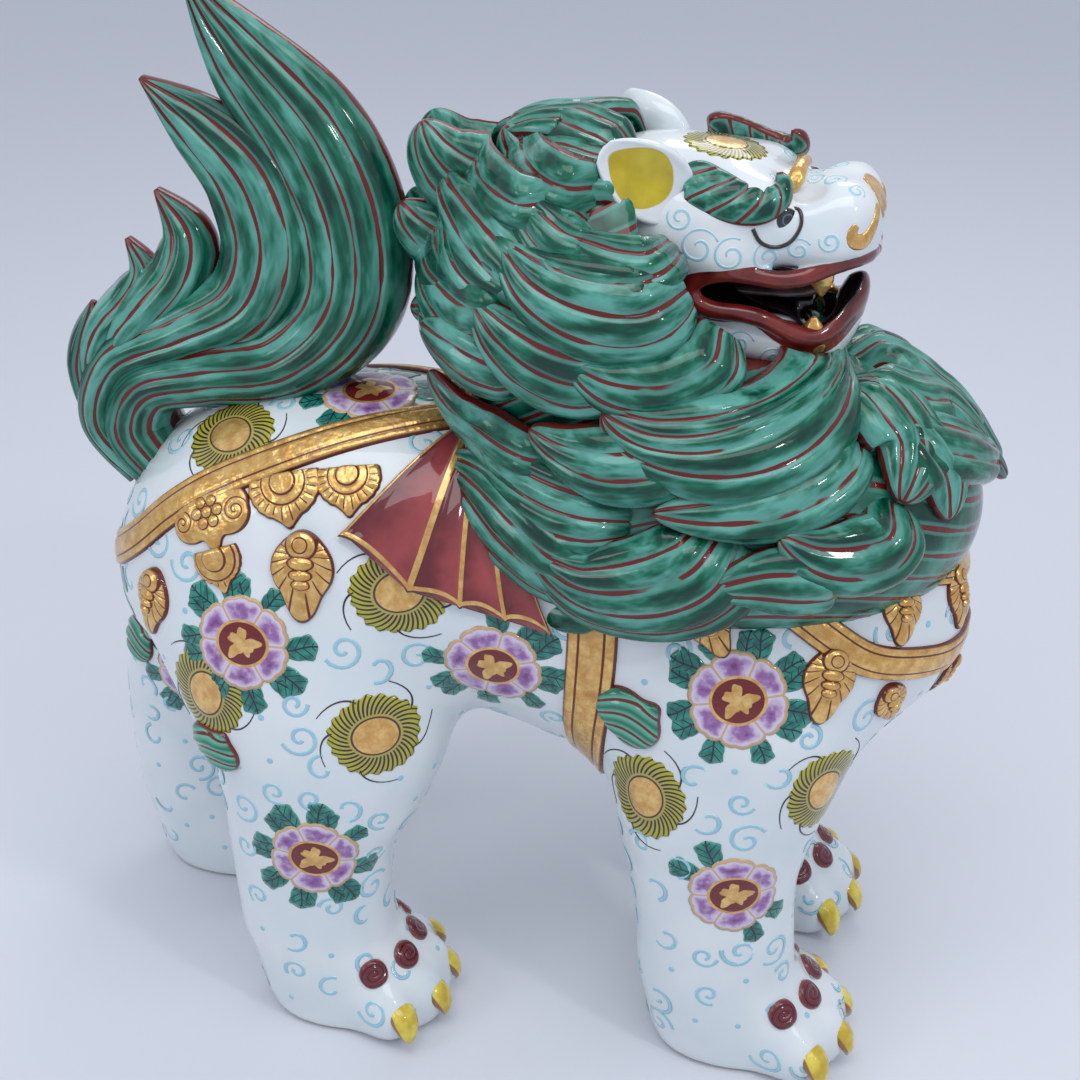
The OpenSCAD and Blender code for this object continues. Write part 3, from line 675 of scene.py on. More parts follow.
def neckCore():  # the neck under the locks, lined like hair where it shows between them
    clay = Clay((-40, -72, 180), (162, 72, 334), 2.4)
    axes = clay.axes()
    sunk = coreStyle["sunk"]
    field = blend(*(egg(axes, c, np.array(r, float) - sunk) for c, r in neckEggs), 18.0)
    field = np.maximum(field, 186 - axes[2])
    hollow = np.maximum(egg(axes, (97, 0, 302), (68, 66, 60)), 264 - axes[2])  # where the face stands
    field = carve(field, hollow + 0 * field, 6)
    points, quads = clay.skin(field)
    core = spawn("neckCore", toFrame(points), quads)
    slant = points[:, 2] * 0.9 - points[:, 0] * 0.35 + 0.004 * (points[:, 0] - 40) ** 2 + 400
    for name, value in (("lineMm", 9), ("phase", 0.6), ("tone", 0.5), ("slant", slant)):
        paint(core, name, value + 0 * slant)
    paintVector(core, "flow", points * 0.04)
    outward(core)
    core.data.materials.append(coreJade)
    return core


# tail: flames standing in the middle plane
tailFlames = {  # x, z, half width from root to tip; depth, strands
    "main": ([[-126, 203, 12], [-137, 221, 14], [-129, 238, 13], [-107, 244, 14], [-79, 249, 16],
              [-59, 268, 19], [-57, 295, 20], [-68, 322, 20], [-88, 347, 14], [-106, 373, 1]], 1.0, 5),
    "second": ([[-134, 205, 10], [-147, 224, 10], [-138, 246, 11], [-114, 257, 13], [-92, 268, 16],
                [-84, 287, 17], [-90, 309, 16], [-106, 326, 11], [-123, 340, 1]], 0.92, 4),
    "third": ([[-141, 240, 5], [-136, 253, 9], [-125, 265, 11], [-115, 277, 11], [-113, 290, 9],
               [-122, 304, 1]], 0.8, 3),
    "fourth": ([[-148, 230, 4], [-148, 243, 7], [-142, 256, 9], [-133, 266, 9], [-129, 276, 6],
                [-134, 287, 1]], 0.66, 3),
    "fifth": ([[-150, 218, 4], [-154, 231, 5], [-154, 244, 6], [-152, 254, 5], [-149, 264, 1]], 0.54, 2),
}
tailStyle = {"depth": 23.0, "ridge": 2.2, "rows": 110, "perStrand": 10}


def tail():
    for k, (name, (path, deep, strands)) in enumerate(tailFlames.items()):
        style = tailStyle
        path = np.array(path, float)
        t = np.linspace(0, 1, style["rows"])
        q = along(path, t)
        ahead = along(path, np.minimum(t + 0.01, 1)) - along(path, np.maximum(t - 0.01, 0))
        forward = unit(np.stack([ahead[:, 0], 0 * t, ahead[:, 1]], -1))
        sideways = np.cross(forward, (0, 1, 0))
        n = strands * style["perStrand"]
        s = np.linspace(-1, 1, n + 1)
        v = np.concatenate([np.sin(s * math.pi / 2), np.sin(s * math.pi / 2)[::-1][1:-1]])
        face = np.concatenate([np.ones(n + 1), -np.ones(n - 1)])
        half = np.maximum(q[:, 2], 0.5)
        belly = 0.55 + 0.45 * np.sin(math.pi * np.minimum(1, t * 1.15))
        depth = style["depth"] * deep * belly * (1.02 - t) ** 0.45
        depth = np.minimum(depth, half * 1.5 + 0.4)
        lines, phase = strandMarks(v[None, :], strands, half[:, None])
        swell = style["ridge"] * np.minimum(half / 8, 1)[:, None] * np.sin(phase * math.pi / 2) ** 0.8
        middle = np.stack([q[:, 0], 0 * t, q[:, 1]], -1)
        y = face[None, :] * (depth[:, None] * np.sqrt(np.maximum(1 - v**2, 0))[None, :] + swell)
        rings = middle[:, None] + sideways[:, None] * (half[:, None] * v[None, :])[..., None]
        rings = rings + np.stack([0 * y, y, 0 * y], -1)
        length = lengths(middle)
        tones = np.random.default_rng(40 + k).uniform(-0.5, 0.5, strands + 1)
        tone = tones[np.clip(((v + 1) * 0.5 * strands).astype(int), 0, strands)]
        flow = stacked(length[:, None] * 0.035 + k * 5.1, v * face * half[:, None] * 0.13, k * 2.3)
        sheaf = Sheaf()
        sheaf.add(rings, lines, phase, tone[None, :], flow)
        settle(sheaf.make(f"tailFlame_{name}", maneJade), "jade_enamel", f"tail_flame_{name}")
    report("tail")


# laying enamel, sprigs and straps on a surface
def skinOf(things):  # the points and faces of several objects together
    points, faces = [], []
    for thing in things:
        first = len(points)
        points += [v.co.copy() for v in thing.data.vertices]
        faces += [[first + i for i in f.vertices] for f in thing.data.polygons]
    return points, faces


class Ground:
    def __init__(self, *things):
        self.tree = BVHTree.FromPolygons(*skinOf(things))

    def touch(self, points):  # nearest places on the surface, and the way out
        hits = [self.tree.find_nearest(Vector(p)) for p in points.reshape(-1, 3)]
        return (np.array([h[0] for h in hits]).reshape(points.shape),
                np.array([h[1] for h in hits]).reshape(points.shape))

    def seat(self, spot, turn=0.0, head=(0, 0, 1), drawn=toFrame):  # place, right, up and out of a patch
        aside = ((0, 0, 0), (4, 0, 0), (-4, 0, 0), (0, 0, 4), (0, 0, -4), (0, 4, 0), (0, -4, 0))
        around = [np.array(spot, float) + d for d in aside]
        where, out = self.touch(drawn(around))
        out = unit(out.mean(axis=0))
        up = unit(np.array(head, float) - out * np.dot(head, out))
        right = np.cross(up, out)
        c, s = math.cos(math.radians(turn)), math.sin(math.radians(turn))
        return where[0], right * c + up * s, up * c - right * s, out

    def lay(self, seat, plan, height):  # a grid of places in mm about the seat, raised by heights in mm
        where, right, up, out = seat
        flat = where + (right * plan[..., :1] + up * plan[..., 1:2]) * 0.001
        at, n = self.touch(flat)
        n = np.where((n * out).sum(-1, keepdims=True) < -0.2, out, n)
        for _ in range(3):
            n = n + np.roll(n, 1, axis=1) + np.roll(n, -1, axis=1)
            if len(n) > 2:
                n[1:-1] = n[1:-1] + n[:-2] + n[2:]
            n = unit(n)
        return at + n * np.broadcast_to(height, plan.shape[:-1])[..., None] * 0.001


class Patches:  # patches of one kind gathered into one piece
    def __init__(self):
        self.points, self.faces, self.plans, self.shares, self.count = [], [], [], [], 0

    def keep(self, points, faces, plan, share):
        self.points.append(points)
        self.faces += [tuple(self.count + i for i in f) for f in faces]
        self.plans.append(plan)
        self.shares.append(share)
        self.count += len(points)

    def disc(self, ground, seat, edge, relief, seed=0.0, rings=9, sink=0.7):  # edge: columns x 2 in mm
        columns = len(edge)
        share = np.linspace(0, 1, rings + 1)[1:] ** 0.9
        plan = np.concatenate([share[:, None, None] * edge[None], edge[None] * 0.985])
        share = np.concatenate([share, [1.0]])
        height = relief(plan, share[:, None] + 0 * plan[..., 0])
        height[-1] = -sink
        rim = ground.lay(seat, plan, height)
        zero = np.zeros((1, 1, 2))
        top = ground.lay(seat, zero, relief(zero, zero[..., 0]))[0]
        base = ground.lay(seat, zero, -sink - 0.3)[0]
        last = 1 + rings * columns
        turn = [(c, (c + 1) % columns) for c in range(columns)]
        faces = [(0, 1 + c, 1 + d) for c, d in turn]
        for r in range(rings):
            a = 1 + r * columns
            faces += [(a + c, a + columns + c, a + columns + d, a + d) for c, d in turn]
        faces += [(last + columns, last + d, last + c) for c, d in turn]
        flat = np.concatenate([np.zeros((1, 2)), plan.reshape(-1, 2), np.zeros((1, 2))])
        self.keep(np.concatenate([top, rim.reshape(-1, 3), base]), faces,
                  np.column_stack([flat, np.full(len(flat), seed)]),
                  np.concatenate([[0.0], np.repeat(share, columns), [1.0]]))

    def tube(self, rings, share=0.0):  # rings already in the frame, rows x columns x 3
        rows, columns = rings.shape[:2]
        self.keep(rings.reshape(-1, 3), gridFaces(rows, columns), np.zeros((rows * columns, 3)),
                  np.broadcast_to(share, (rows, columns)).reshape(-1))

    def ribbon(self, ground, seat, path, width, rise, seed=0.0, across=8, sink=0.5):
        path = np.array(path, float)  # rows x 2 in mm, already smooth
        ahead = unit(np.gradient(path, axis=0))
        side = np.stack([ahead[:, 1], -ahead[:, 0]], -1)
        v = np.linspace(-1, 1, across + 1)
        half = np.broadcast_to(np.asarray(width, float) / 2, (len(path),))
        plan = path[:, None] + side[:, None] * (half[:, None] * v[None])[..., None]
        height = rise * (1 - np.abs(v[None]) ** 4) * np.minimum(half[:, None] / half.max() + 0.3, 1)
        under = plan[:, ::-1]
        plan = np.concatenate([plan, under], axis=1)
        height = np.concatenate([np.broadcast_to(height, (len(path), across + 1)),
                                 np.full((len(path), across + 1), -sink)], axis=1)
        at = ground.lay(seat, plan, height)
        columns = plan.shape[1]
        length = lengths(path)
        spread = np.concatenate([np.abs(v), np.ones(across + 1)])
        self.keep(at.reshape(-1, 3), gridFaces(len(path), columns),
                  stacked(length[:, None], np.concatenate([v, v[::-1]]) * half[:, None], seed).reshape(-1, 3),
                  np.broadcast_to(spread[None], (len(path), columns)).reshape(-1))

    def make(self, name, material):
        thing = spawn(name, np.concatenate(self.points), self.faces)
        paintVector(thing, "plan", np.concatenate(self.plans))
        paint(thing, "share", np.concatenate(self.shares))
        outward(thing)
        thing.data.materials.append(material)
        return thing


def polar(radius, count=72):  # an outline from its radius at each angle
    a = ringAngles(count)
    return np.stack([radius(a) * np.cos(a), radius(a) * np.sin(a)], -1)


def planOf(tree):  # mm across and up the patch, mm from its middle, and the angle
    parts = node(tree, "ShaderNodeSeparateXYZ", {0: vectorOf(tree, "plan")}).outputs
    u, v = Flow(parts[0]), Flow(parts[1])
    r = calc("SQRT", u * u + v * v)
    return u, v, r, calc("ARCTAN2", v, u)


def wave(angle, times, phase=0.0):
    return calc("SINE", angle * times + phase)


def gilt(tree):  # gold leaf: warm, half metal, a little uneven
    rub = mottle(tree, 260.0, 5.0, Roughness=0.65)
    colour = mix(ramp(rub, 0.35, 0.7), (0.62, 0.33, 0.085, 1), (0.86, 0.56, 0.20, 1))
    return colour, ramp(rub, 0.3, 0.75, (0.34, 0.2))


def peonyMaterial():
    material, tree, pool = enamel("peonyEnamel", 0.26, 160.0, 0.2)
    u, v, r, a = planOf(tree)
    share = reading(tree, "share")
    seam = r * abs(wave(a, 3.0)) / 3.0
    rim = (1.0 - share) * 17.0
    inside = calc("SMOOTH_MIN", seam - 0.1, rim - 1.2)
    streak = mottle(tree, 0.28, 3.0, vectorOf(tree, "plan"))
    fill = inside * ramp(streak, 0.3, 0.75, (0.45, 1.35))
    petal = mix(ramp(fill, 0.2, 2.6), (0.66, 0.57, 0.74, 1), (0.30, 0.135, 0.36, 1))
    petal = mix(ramp(fill, 2.4, 5.0), petal, (0.15, 0.045, 0.20, 1))
    gold, rough = gilt(tree)
    lineMask = fade(inside, 0.15, 0.38)
    colour = mix(lineMask * 0.9, petal, (0.55, 0.36, 0.155, 1))
    oval = calc("SQRT", (u / 1.12)**2.0 + v**2.0)
    colour = mix(fade(oval, 8.3, 8.6), colour, gold)
    colour = mix(fade(oval, 7.4, 7.6), colour, (0.15, 0.010, 0.012, 1))
    spikes = wave(a, 5.0, 0.6) + wave(a, 3.0, 2.1) * 0.8
    spikes = spikes + wave(a, 11.0, 1.0) * 0.35
    star = oval - (4.4 + spikes * 1.15)
    starMask = fade(star, -0.12, 0.12)
    colour = mix(starMask, colour, gold)
    ring = fade(oval, 8.3, 8.6) * ramp(oval, 7.4, 7.6)
    return dress(material, colour, Metallic=(starMask + ring) * 0.55)


def sunMaterial():
    material, tree, pool = enamel("sunEnamel", 0.27, 160.0, 0.2)
    u, v, r, a = planOf(tree)
    oval = calc("SQRT", (u / 1.22)**2.0 + v**2.0)
    lean = a + (r / 17.0)**2.0 * 0.5
    comb = wave(lean, 42.0)
    thin = ramp(r, 9.0, 17.0, (-0.25, 0.45))
    stroke = ramp(comb - thin, 0.0, 0.3)
    stroke = stroke * ramp(oval, 7.6, 8.2)
    wash = mix(ramp(r, 9.0, 16.0), (0.42, 0.35, 0.07, 1), (0.43, 0.40, 0.012, 1))
    colour = mix(stroke, wash, (0.025, 0.018, 0.014, 1))
    gold, rough = gilt(tree)
    colour = mix(fade(oval, 7.0, 7.3), colour, (0.05, 0.03, 0.03, 1))
    middle = fade(oval, 6.4, 6.6)
    colour = mix(middle, colour, gold)
    return dress(material, colour, Metallic=middle * 0.55)


def leafMaterial():
    material, tree, pool = enamel("leafEnamel", 0.25, 160.0, 0.2)
    u, v, r, a = planOf(tree)
    share = reading(tree, "share")
    rib = abs(u + wave(v, 0.5) * 0.35)
    slope = v - rib * 0.85
    twig = abs(calc("FRACT", slope / 2.9) - 0.5)
    twig = twig * 2.9
    veins = calc("MAXIMUM", fade(rib, 0.22, 0.36), fade(twig, 0.16, 0.3) * fade(share, 0.86, 0.93))
    cloudy = mottle(tree, 0.25, 2.0, vectorOf(tree, "plan"))
    green = mix(ramp(cloudy, 0.35, 0.65), (0.004, 0.12, 0.10, 1), (0.02, 0.26, 0.20, 1))
    green = mix(ramp(share, 0.82, 1.0, (0.0, 0.55)), green, (0.14, 0.42, 0.36, 1))
    colour = mix(veins, green, (0.008, 0.012, 0.03, 1))
    return dress(material, colour)


def strokeMaterial(name, middle, edge, rough=0.25):  # brush strokes, thinner at their sides
    material, tree, pool = enamel(name, rough, 120.0, 0.12)
    share = reading(tree, "share")
    load = mottle(tree, 180.0, 2.0)
    body = ramp(share + load * 0.8, 0.45, 1.35)
    return dress(material, mix(body, middle, edge))


peonyPaint, sunPaint, leafPaint = peonyMaterial(), sunMaterial(), leafMaterial()
skyPaint = strokeMaterial("skyBlueScrolls", (0.30, 0.57, 0.68, 1), (0.62, 0.79, 0.85, 1))
inkPaint = strokeMaterial("blackLines", (0.012, 0.010, 0.012, 1), (0.05, 0.035, 0.03, 1))

flowers = {  # places on the body, and turns in degrees
    "peonies": [((-85, -62, 169), 0), ((-2, -55, 163), 15), ((-65, -65, 85), -10), ((79, -65, 163), 10),
                ((82, -65, 85), 5), ((-51, -8, 240), 0), ((-90, 62, 165), 20), ((6, 55, 163), -15),
                ((-122, 65, 84), 10), ((84, 65, 160), 0), ((86, 65, 84), 20), ((-146, -8, 168), 0),
                ((-132, 22, 112), 0)],
    "suns": [((-41, -63, 137), 8), ((-32, -58, 190), 20), ((50, -63, 121), 80), ((109, -57, 126), -70),
             ((-95, -27, 229), -10), ((-100, -62, 148), 80), ((-35, 62, 140), 0), ((-38, 57, 188), 30),
             ((50, 60, 122), 80), ((110, 57, 124), 70), ((-94, 27, 229), 0), ((-150, 55, 128), 80),
             ((50, -19, 120), 0), ((50, 19, 120), 0)],
    "peonyRadius": 17.0, "sunRadius": 16.5, "leafLength": 12.5,
}
leafFan = [(-64, 0.9), (-18, 1.1), (28, 1.0), (76, 0.85), (118, 1.1), (163, 0.9), (212, 0.95), (258, 1.05)]


def flowersAndLeaves(ground):
    peony, sun, leaf, whisker = Patches(), Patches(), Patches(), Patches()
    big = flowers["peonyRadius"]
    petals = polar(lambda a: big * (0.87 + 0.10 * np.abs(np.sin(3 * a)) ** 0.6
                                    + 0.035 * np.abs(np.sin(9 * a)) ** 0.8), 108)

    def petalRelief(plan, share):
        a = np.arctan2(plan[..., 1], plan[..., 0])
        lobes = 0.35 * np.abs(np.sin(3 * a)) ** 0.7 * step(0.45, 0.62, share) * (1 - step(0.86, 1.0, share))
        return 0.22 + lobes + 0.3 * (1 - step(0.42, 0.5, share))

    for k, (spot, turn) in enumerate(flowers["peonies"]):
        seat = ground.seat(spot, turn)
        rng = np.random.default_rng(200 + k)
        for angle, size in leafFan:
            if rng.random() < 0.22:
                continue
            angle = math.radians(angle + turn + rng.uniform(-8, 8))
            reach = big * 0.88 + 4.2 * size
            long = flowers["leafLength"] * size / 2
            where, right, up, out = seat
            for twin in (-0.30, 0.30):
                a2 = angle + twin
                far = where + (right * math.cos(a2) + up * math.sin(a2)) * reach * 0.001
                at, n = ground.touch(far[None])
                n = n[0]
                if np.linalg.norm(at[0] - far) > 0.012:
                    continue
                tip = unit((right * math.cos(a2 + twin * 0.6) + up * math.sin(a2 + twin * 0.6)))
                tip = unit(tip - n * np.dot(tip, n))
                shape = polar(lambda q: long * (0.62 + 0.34 * np.maximum(np.sin(q), 0) ** 3
                                                + 0.22 * np.exp(-((q - 0.75) / 0.25) ** 2)
                                                + 0.22 * np.exp(-((q - math.pi + 0.75) / 0.25) ** 2)
                                                + 0.25 * np.maximum(-np.sin(q), 0) ** 4), 36)
                leaf.disc(ground, (at[0], np.cross(tip, n), tip, n), shape,
                          lambda plan, share: 0.16 + 0.14 * (1 - share), rng.uniform(0, 9), rings=4, sink=0.5)
        peony.disc(ground, seat, petals, petalRelief, k * 1.7, rings=14)
    small = flowers["sunRadius"]
    for k, (spot, turn) in enumerate(flowers["suns"]):
        seat = ground.seat(spot, turn)
        edge = polar(lambda a: small * (1 + 0.035 * np.sin(21 * a) + 0.02 * np.sin(5 * a + k)), 126)
        edge[:, 1] *= 0.9
        sun.disc(ground, seat, edge, lambda plan, share: 0.2 + 0.45 * (1 - step(0.36, 0.46, share)),
                 k * 2.3, rings=10)
        for w in range(5):
            a = math.radians(w * 72 + 25 + 9 * math.sin(k + w * 2))
            t = np.linspace(0, 1, 12)
            r = small * (0.92 + 0.42 * t)
            curl = a + 0.30 * t + 0.45 * t**3
            path = np.stack([r * np.cos(curl), r * np.sin(curl) * 0.9], -1)
            whisker.ribbon(ground, seat, path, 0.95 - 0.5 * t, 0.22, across=4)
    settle(peony.make("peonies", peonyPaint), "maroon_enamel")
    settle(sun.make("suns", sunPaint), "citron_enamel")
    settle(leaf.make("peonyLeaves", leafPaint), "jade_enamel")
    settle(whisker.make("sunWhiskers", inkPaint), "dark_enamel")
    report("flowers, suns and leaves")


# pale blue scrolls scattered over the bare porcelain
scrollStyle = {"spacing": 0.0128, "radius": 0.0070, "turns": 1.3, "width": 0.0016,
               "thickness": 0.00016, "seed": 7}


def scrollTree(material):
    tree = bpy.data.node_groups.new("blueScrolls", "GeometryNodeTree")
    face = tree.interface
    face.new_socket(name="Geometry", in_out="INPUT", socket_type="NodeSocketGeometry")
    for name, kind in (("Spacing", "Float"), ("Radius", "Float"), ("Turns", "Float"), ("Width", "Float"),
                       ("Thickness", "Float"), ("Seed", "Int")):
        face.new_socket(name=name, in_out="INPUT", socket_type="NodeSocket" + kind)
    face.new_socket(name="Geometry", in_out="OUTPUT", socket_type="NodeSocketGeometry")
    take, give = node(tree, "NodeGroupInput"), node(tree, "NodeGroupOutput")
    skin, spacing, radius, turns, width, thick, seed = list(take.outputs)[:7]

    def times(a, b):
        return node(tree, "ShaderNodeMath", {0: a, 1: b}, operation="MULTIPLY").outputs[0]

    def named(attribute):
        return node(tree, "GeometryNodeInputNamedAttribute", {"Name": attribute},
                    data_type="FLOAT").outputs["Attribute"]

    spread = node(tree, "GeometryNodeDistributePointsOnFaces", distribute_method="POISSON")
    tree.links.new(skin, spread.inputs["Mesh"])
    tree.links.new(spacing, spread.inputs["Distance Min"])
    spread.inputs["Density Max"].default_value = 60000.0
    tree.links.new(named("bare"), spread.inputs["Density Factor"])
    tree.links.new(seed, spread.inputs["Seed"])

    def brushed(curve):  # a flat closed stroke along a curve
        normal = node(tree, "GeometryNodeSetCurveNormal", mode="Z_UP")
        tree.links.new(curve, normal.inputs["Curve"])
        outline = node(tree, "GeometryNodeCurvePrimitiveCircle", {"Resolution": 6, "Radius": 1.0})
        size = node(tree, "ShaderNodeCombineXYZ", {0: times(width, 0.5), 1: thick, 2: 1.0})
        flat = node(tree, "GeometryNodeTransform", {"Scale": size.outputs[0]})
        tree.links.new(outline.outputs["Curve"], flat.inputs["Geometry"])
        tube = node(tree, "GeometryNodeCurveToMesh", {"Fill Caps": True})
        tree.links.new(normal.outputs["Curve"], tube.inputs["Curve"])
        tree.links.new(flat.outputs["Geometry"], tube.inputs["Profile Curve"])
        return tube.outputs["Mesh"]

    bag = node(tree, "GeometryNodeJoinGeometry")
    for rounds, size, start in ((1.0, 1.0, 0.12), (0.55, 0.8, 0.35), (-0.9, 0.7, 0.2)):
        grow = times(radius, size)
        spiral = node(tree, "GeometryNodeCurveSpiral", {
            "Resolution": 20, "Rotations": times(turns, abs(rounds)), "Start Radius": times(grow, start),
            "End Radius": grow, "Height": 0.0, "Reverse": rounds < 0})
        one = node(tree, "GeometryNodeGeometryToInstance")
        tree.links.new(brushed(spiral.outputs["Curve"]), one.inputs["Geometry"])
        tree.links.new(one.outputs[0], bag.inputs[0])
    dot = node(tree, "GeometryNodeMeshUVSphere", {"Segments": 10, "Rings": 5, "Radius": 0.0012})
    squash = node(tree, "GeometryNodeTransform", {"Scale": (1.0, 1.0, 0.2)})
    tree.links.new(dot.outputs["Mesh"], squash.inputs["Geometry"])
    one = node(tree, "GeometryNodeGeometryToInstance")
    tree.links.new(squash.outputs["Geometry"], one.inputs["Geometry"])
    tree.links.new(one.outputs[0], bag.inputs[0])
    pick = node(tree, "FunctionNodeRandomValue", {"Seed": 3}, data_type="INT")
    pick.inputs[4].default_value, pick.inputs[5].default_value = 0, 3
    spin = node(tree, "FunctionNodeRandomValue", {"Seed": 5}, data_type="FLOAT")
    spin.inputs[2].default_value, spin.inputs[3].default_value = 0.0, 6.28
    turned = node(tree, "ShaderNodeCombineXYZ", {2: spin.outputs[1]})
    aim = node(tree, "FunctionNodeAlignRotationToVector", {"Vector": spread.outputs["Normal"]}, axis="Z")
    twist = node(tree, "FunctionNodeRotateRotation", rotation_space="LOCAL")
    tree.links.new(aim.outputs[0], twist.inputs[0])
    tree.links.new(turned.outputs[0], twist.inputs[1])
    put = node(tree, "GeometryNodeInstanceOnPoints", {"Pick Instance": True})
    tree.links.new(spread.outputs["Points"], put.inputs["Points"])
    tree.links.new(bag.outputs[0], put.inputs["Instance"])
    tree.links.new(pick.outputs[2], put.inputs["Instance Index"])
    tree.links.new(twist.outputs[0], put.inputs["Rotation"])
    real = node(tree, "GeometryNodeRealizeInstances")
    tree.links.new(put.outputs[0], real.inputs[0])
    dress = node(tree, "GeometryNodeSetMaterial", {"Material": material})
    tree.links.new(real.outputs[0], dress.inputs["Geometry"])
    tree.links.new(dress.outputs[0], give.inputs[0])
    return tree


def scrolls(name, skinThing, ground, tree, style):
    grow = skinThing.modifiers.new("scrolls", "NODES")
    grow.node_group = tree
    sockets = {s.name: s.identifier for s in tree.interface.items_tree if s.in_out == "INPUT"}
    for label, key in (("Spacing", "spacing"), ("Radius", "radius"), ("Turns", "turns"), ("Width", "width"),
                       ("Thickness", "thickness"), ("Seed", "seed")):
        grow[sockets[label]] = style[key]
    skinThing.update_tag()
    view = bpy.context.evaluated_depsgraph_get()
    mesh = bpy.data.meshes.new_from_object(skinThing.evaluated_get(view), depsgraph=view)
    skinThing.modifiers.remove(grow)
    made = bpy.data.objects.new(name, mesh)
    bpy.context.scene.collection.objects.link(made)
    points = np.array([v.co for v in mesh.vertices])
    at, out = ground.touch(points)
    islands = islandOf(mesh)
    middle = np.array([np.bincount(islands, points[:, k]) for k in range(3)]).T
    middle = middle / np.bincount(islands)[:, None]
    seat, way = ground.touch(middle)
    flat = ((points - seat[islands]) * way[islands]).sum(-1)
    flat = np.clip(flat, -0.00025, 0.00025)
    points = at + out * (flat + 0.00004)[:, None]
    mesh.vertices.foreach_set("co", points.astype(np.float32).reshape(-1))
    paint(made, "share", np.where(flat > 0.00004, 0.1, 1.0))
    outward(made)
    return made


def islandOf(mesh):  # the number of the loose part that each point belongs to
    root = list(range(len(mesh.vertices)))

    def find(i):
        while root[i] != i:
            root[i] = root[root[i]]
            i = root[i]
        return i

    for edge in mesh.edges:
        a, b = find(edge.vertices[0]), find(edge.vertices[1])
        if a != b:
            root[a] = b
    return np.unique([find(i) for i in range(len(root))], return_inverse=True)[1]


def bodyScrolls(body, ground):
    points, faces = skinOf(body)
    skinThing = spawn("scrollSkin", points, faces)
    p = np.array(points)
    bare = np.ones(len(p))
    for key, clear in (("peonies", 22.0), ("suns", 19.5)):
        for spot, _ in flowers[key]:
            bare *= np.linalg.norm(p - toFrame([spot]), axis=1) > clear * 0.001
    for path in strapRoutes.values():
        for spot in path:
            bare *= np.linalg.norm(p - toFrame([spot]), axis=1) > 0.0105
            bare *= np.linalg.norm(p - toFrame([np.array(spot) * (1, -1, 1)]), axis=1) > 0.0105
    for spot in quietSpots:
        bare *= np.linalg.norm((p - toFrame([spot[:3]])), axis=1) > spot[3] * 0.001
    bare *= p[:, 2] > 0.012
    paint(skinThing, "bare", bare)
    made = scrolls("bodyScrolls", skinThing, ground, scrollTree(skyPaint), scrollStyle)
    bpy.data.objects.remove(skinThing)
    settle(made, "white_porcelain")
    report(f"scrolls: {len(made.data.polygons)} faces")


# harness: straps, sprigs, pendants and pleated flaps
strapRoutes = {  # the right side, from front to middle, in the drawing's mm
    "crupper_strap": [(6, -9, 236), (-17, -14, 235), (-37, -23, 234), (-59, -32, 231), (-78, -38, 225),
                      (-99, -41, 216), (-114, -41, 206), (-127, -36, 193), (-139, -23, 181), (-147, -7, 176)],
    "breast_strap_upper": [(112, -40, 206), (121, -37, 202), (135, -31, 196), (146, -19, 191), (152, -6, 190)],
    "breast_strap_lower": [(66, -48, 208), (79, -51, 200), (93, -53, 192), (107, -54, 182), (120, -51, 173),
                           (137, -40, 167), (148, -22, 163), (153, -6, 162)],
    "girth_strap": [(31, -57, 190), (31, -58, 173), (30, -57, 156), (29, -50, 138), (30, -38, 120),
                    (31, -22, 109), (31, -7, 106)],
}
strapStyle = {"crupper_strap": 13.0, "breast_strap_upper": 9.5, "breast_strap_lower": 12.0,
              "girth_strap": 17.0, "rise": 2.2}  # widths, and how far they stand up


def bandAlong(patches, ground, route, width, rise, rows=150, across=16):
    full = [np.array(p, float) for p in route]
    full += [p * (1, -1, 1) for p in full[::-1]]
    centre = toFrame(along(full, np.linspace(0, 1, rows)))
    for _ in range(3):
        centre, n = ground.touch(centre)
        centre[1:-1] = (centre[:-2] + 2 * centre[1:-1] + centre[2:]) / 4
        for _ in range(4):
            n[1:-1] = unit(n[:-2] + n[1:-1] + n[2:])
    ahead = unit(np.gradient(centre, axis=0))
    side = unit(np.cross(ahead, n))
    v = np.linspace(-1, 1, across + 1)
    flat = centre[:, None] + side[:, None] * (v * width / 2 * 0.001)[None, :, None]
    at, normal = ground.touch(flat)
    for _ in range(4):
        normal[1:-1] = unit(normal[:-2] + normal[1:-1] + normal[2:])
        at[1:-1] = (at[:-2] + 2 * at[1:-1] + at[2:]) / 4
    a = np.abs(v)
    shape = rise * (0.72 + 0.28 * (1 - step(0.42, 0.5, a)) + 0.12 * step(0.5, 0.6, a)) * (1 - a**10) ** 0.5
    top = at + normal * (shape * 0.001)[None, :, None]
    base = (at - normal * 0.0006)[:, ::-1]
    rings = np.concatenate([top, base], axis=1)
    length = lengths(centre) * 1000
    spread = np.concatenate([a, np.ones(across + 1)])
    plan = stacked(length[:, None], np.concatenate([v, v[::-1]]) * width / 2, 0.0)
    patches.keep(rings.reshape(-1, 3), gridFaces(rows, rings.shape[1]), plan.reshape(-1, 3),
                 np.broadcast_to(spread[None], rings.shape[:2]).reshape(-1))


def goldMaterial(name, lines):  # gold with red-brown drawing; lines(tree) gives the mask of the drawing
    material, tree, pool = enamel(name, 0.3, 240.0, 0.35, 0.6)
    gold, rough = gilt(tree)
    mask = lines(tree)
    worn = mottle(tree, 90.0, 4.0)
    shade = mix(ramp(worn, 0.52, 0.75, (0.0, 0.5)), gold, (0.36, 0.16, 0.045, 1))
    colour = mix(mask, shade, (0.13, 0.024, 0.016, 1))
    return dress(material, colour, Metallic=(1.0 - mask) * 0.72, Roughness=rough)


def lineAt(value, middle, half):  # 1 on a line where a value passes the middle
    off = abs(value - middle)
    return fade(off, half * 0.7, half * 1.3)


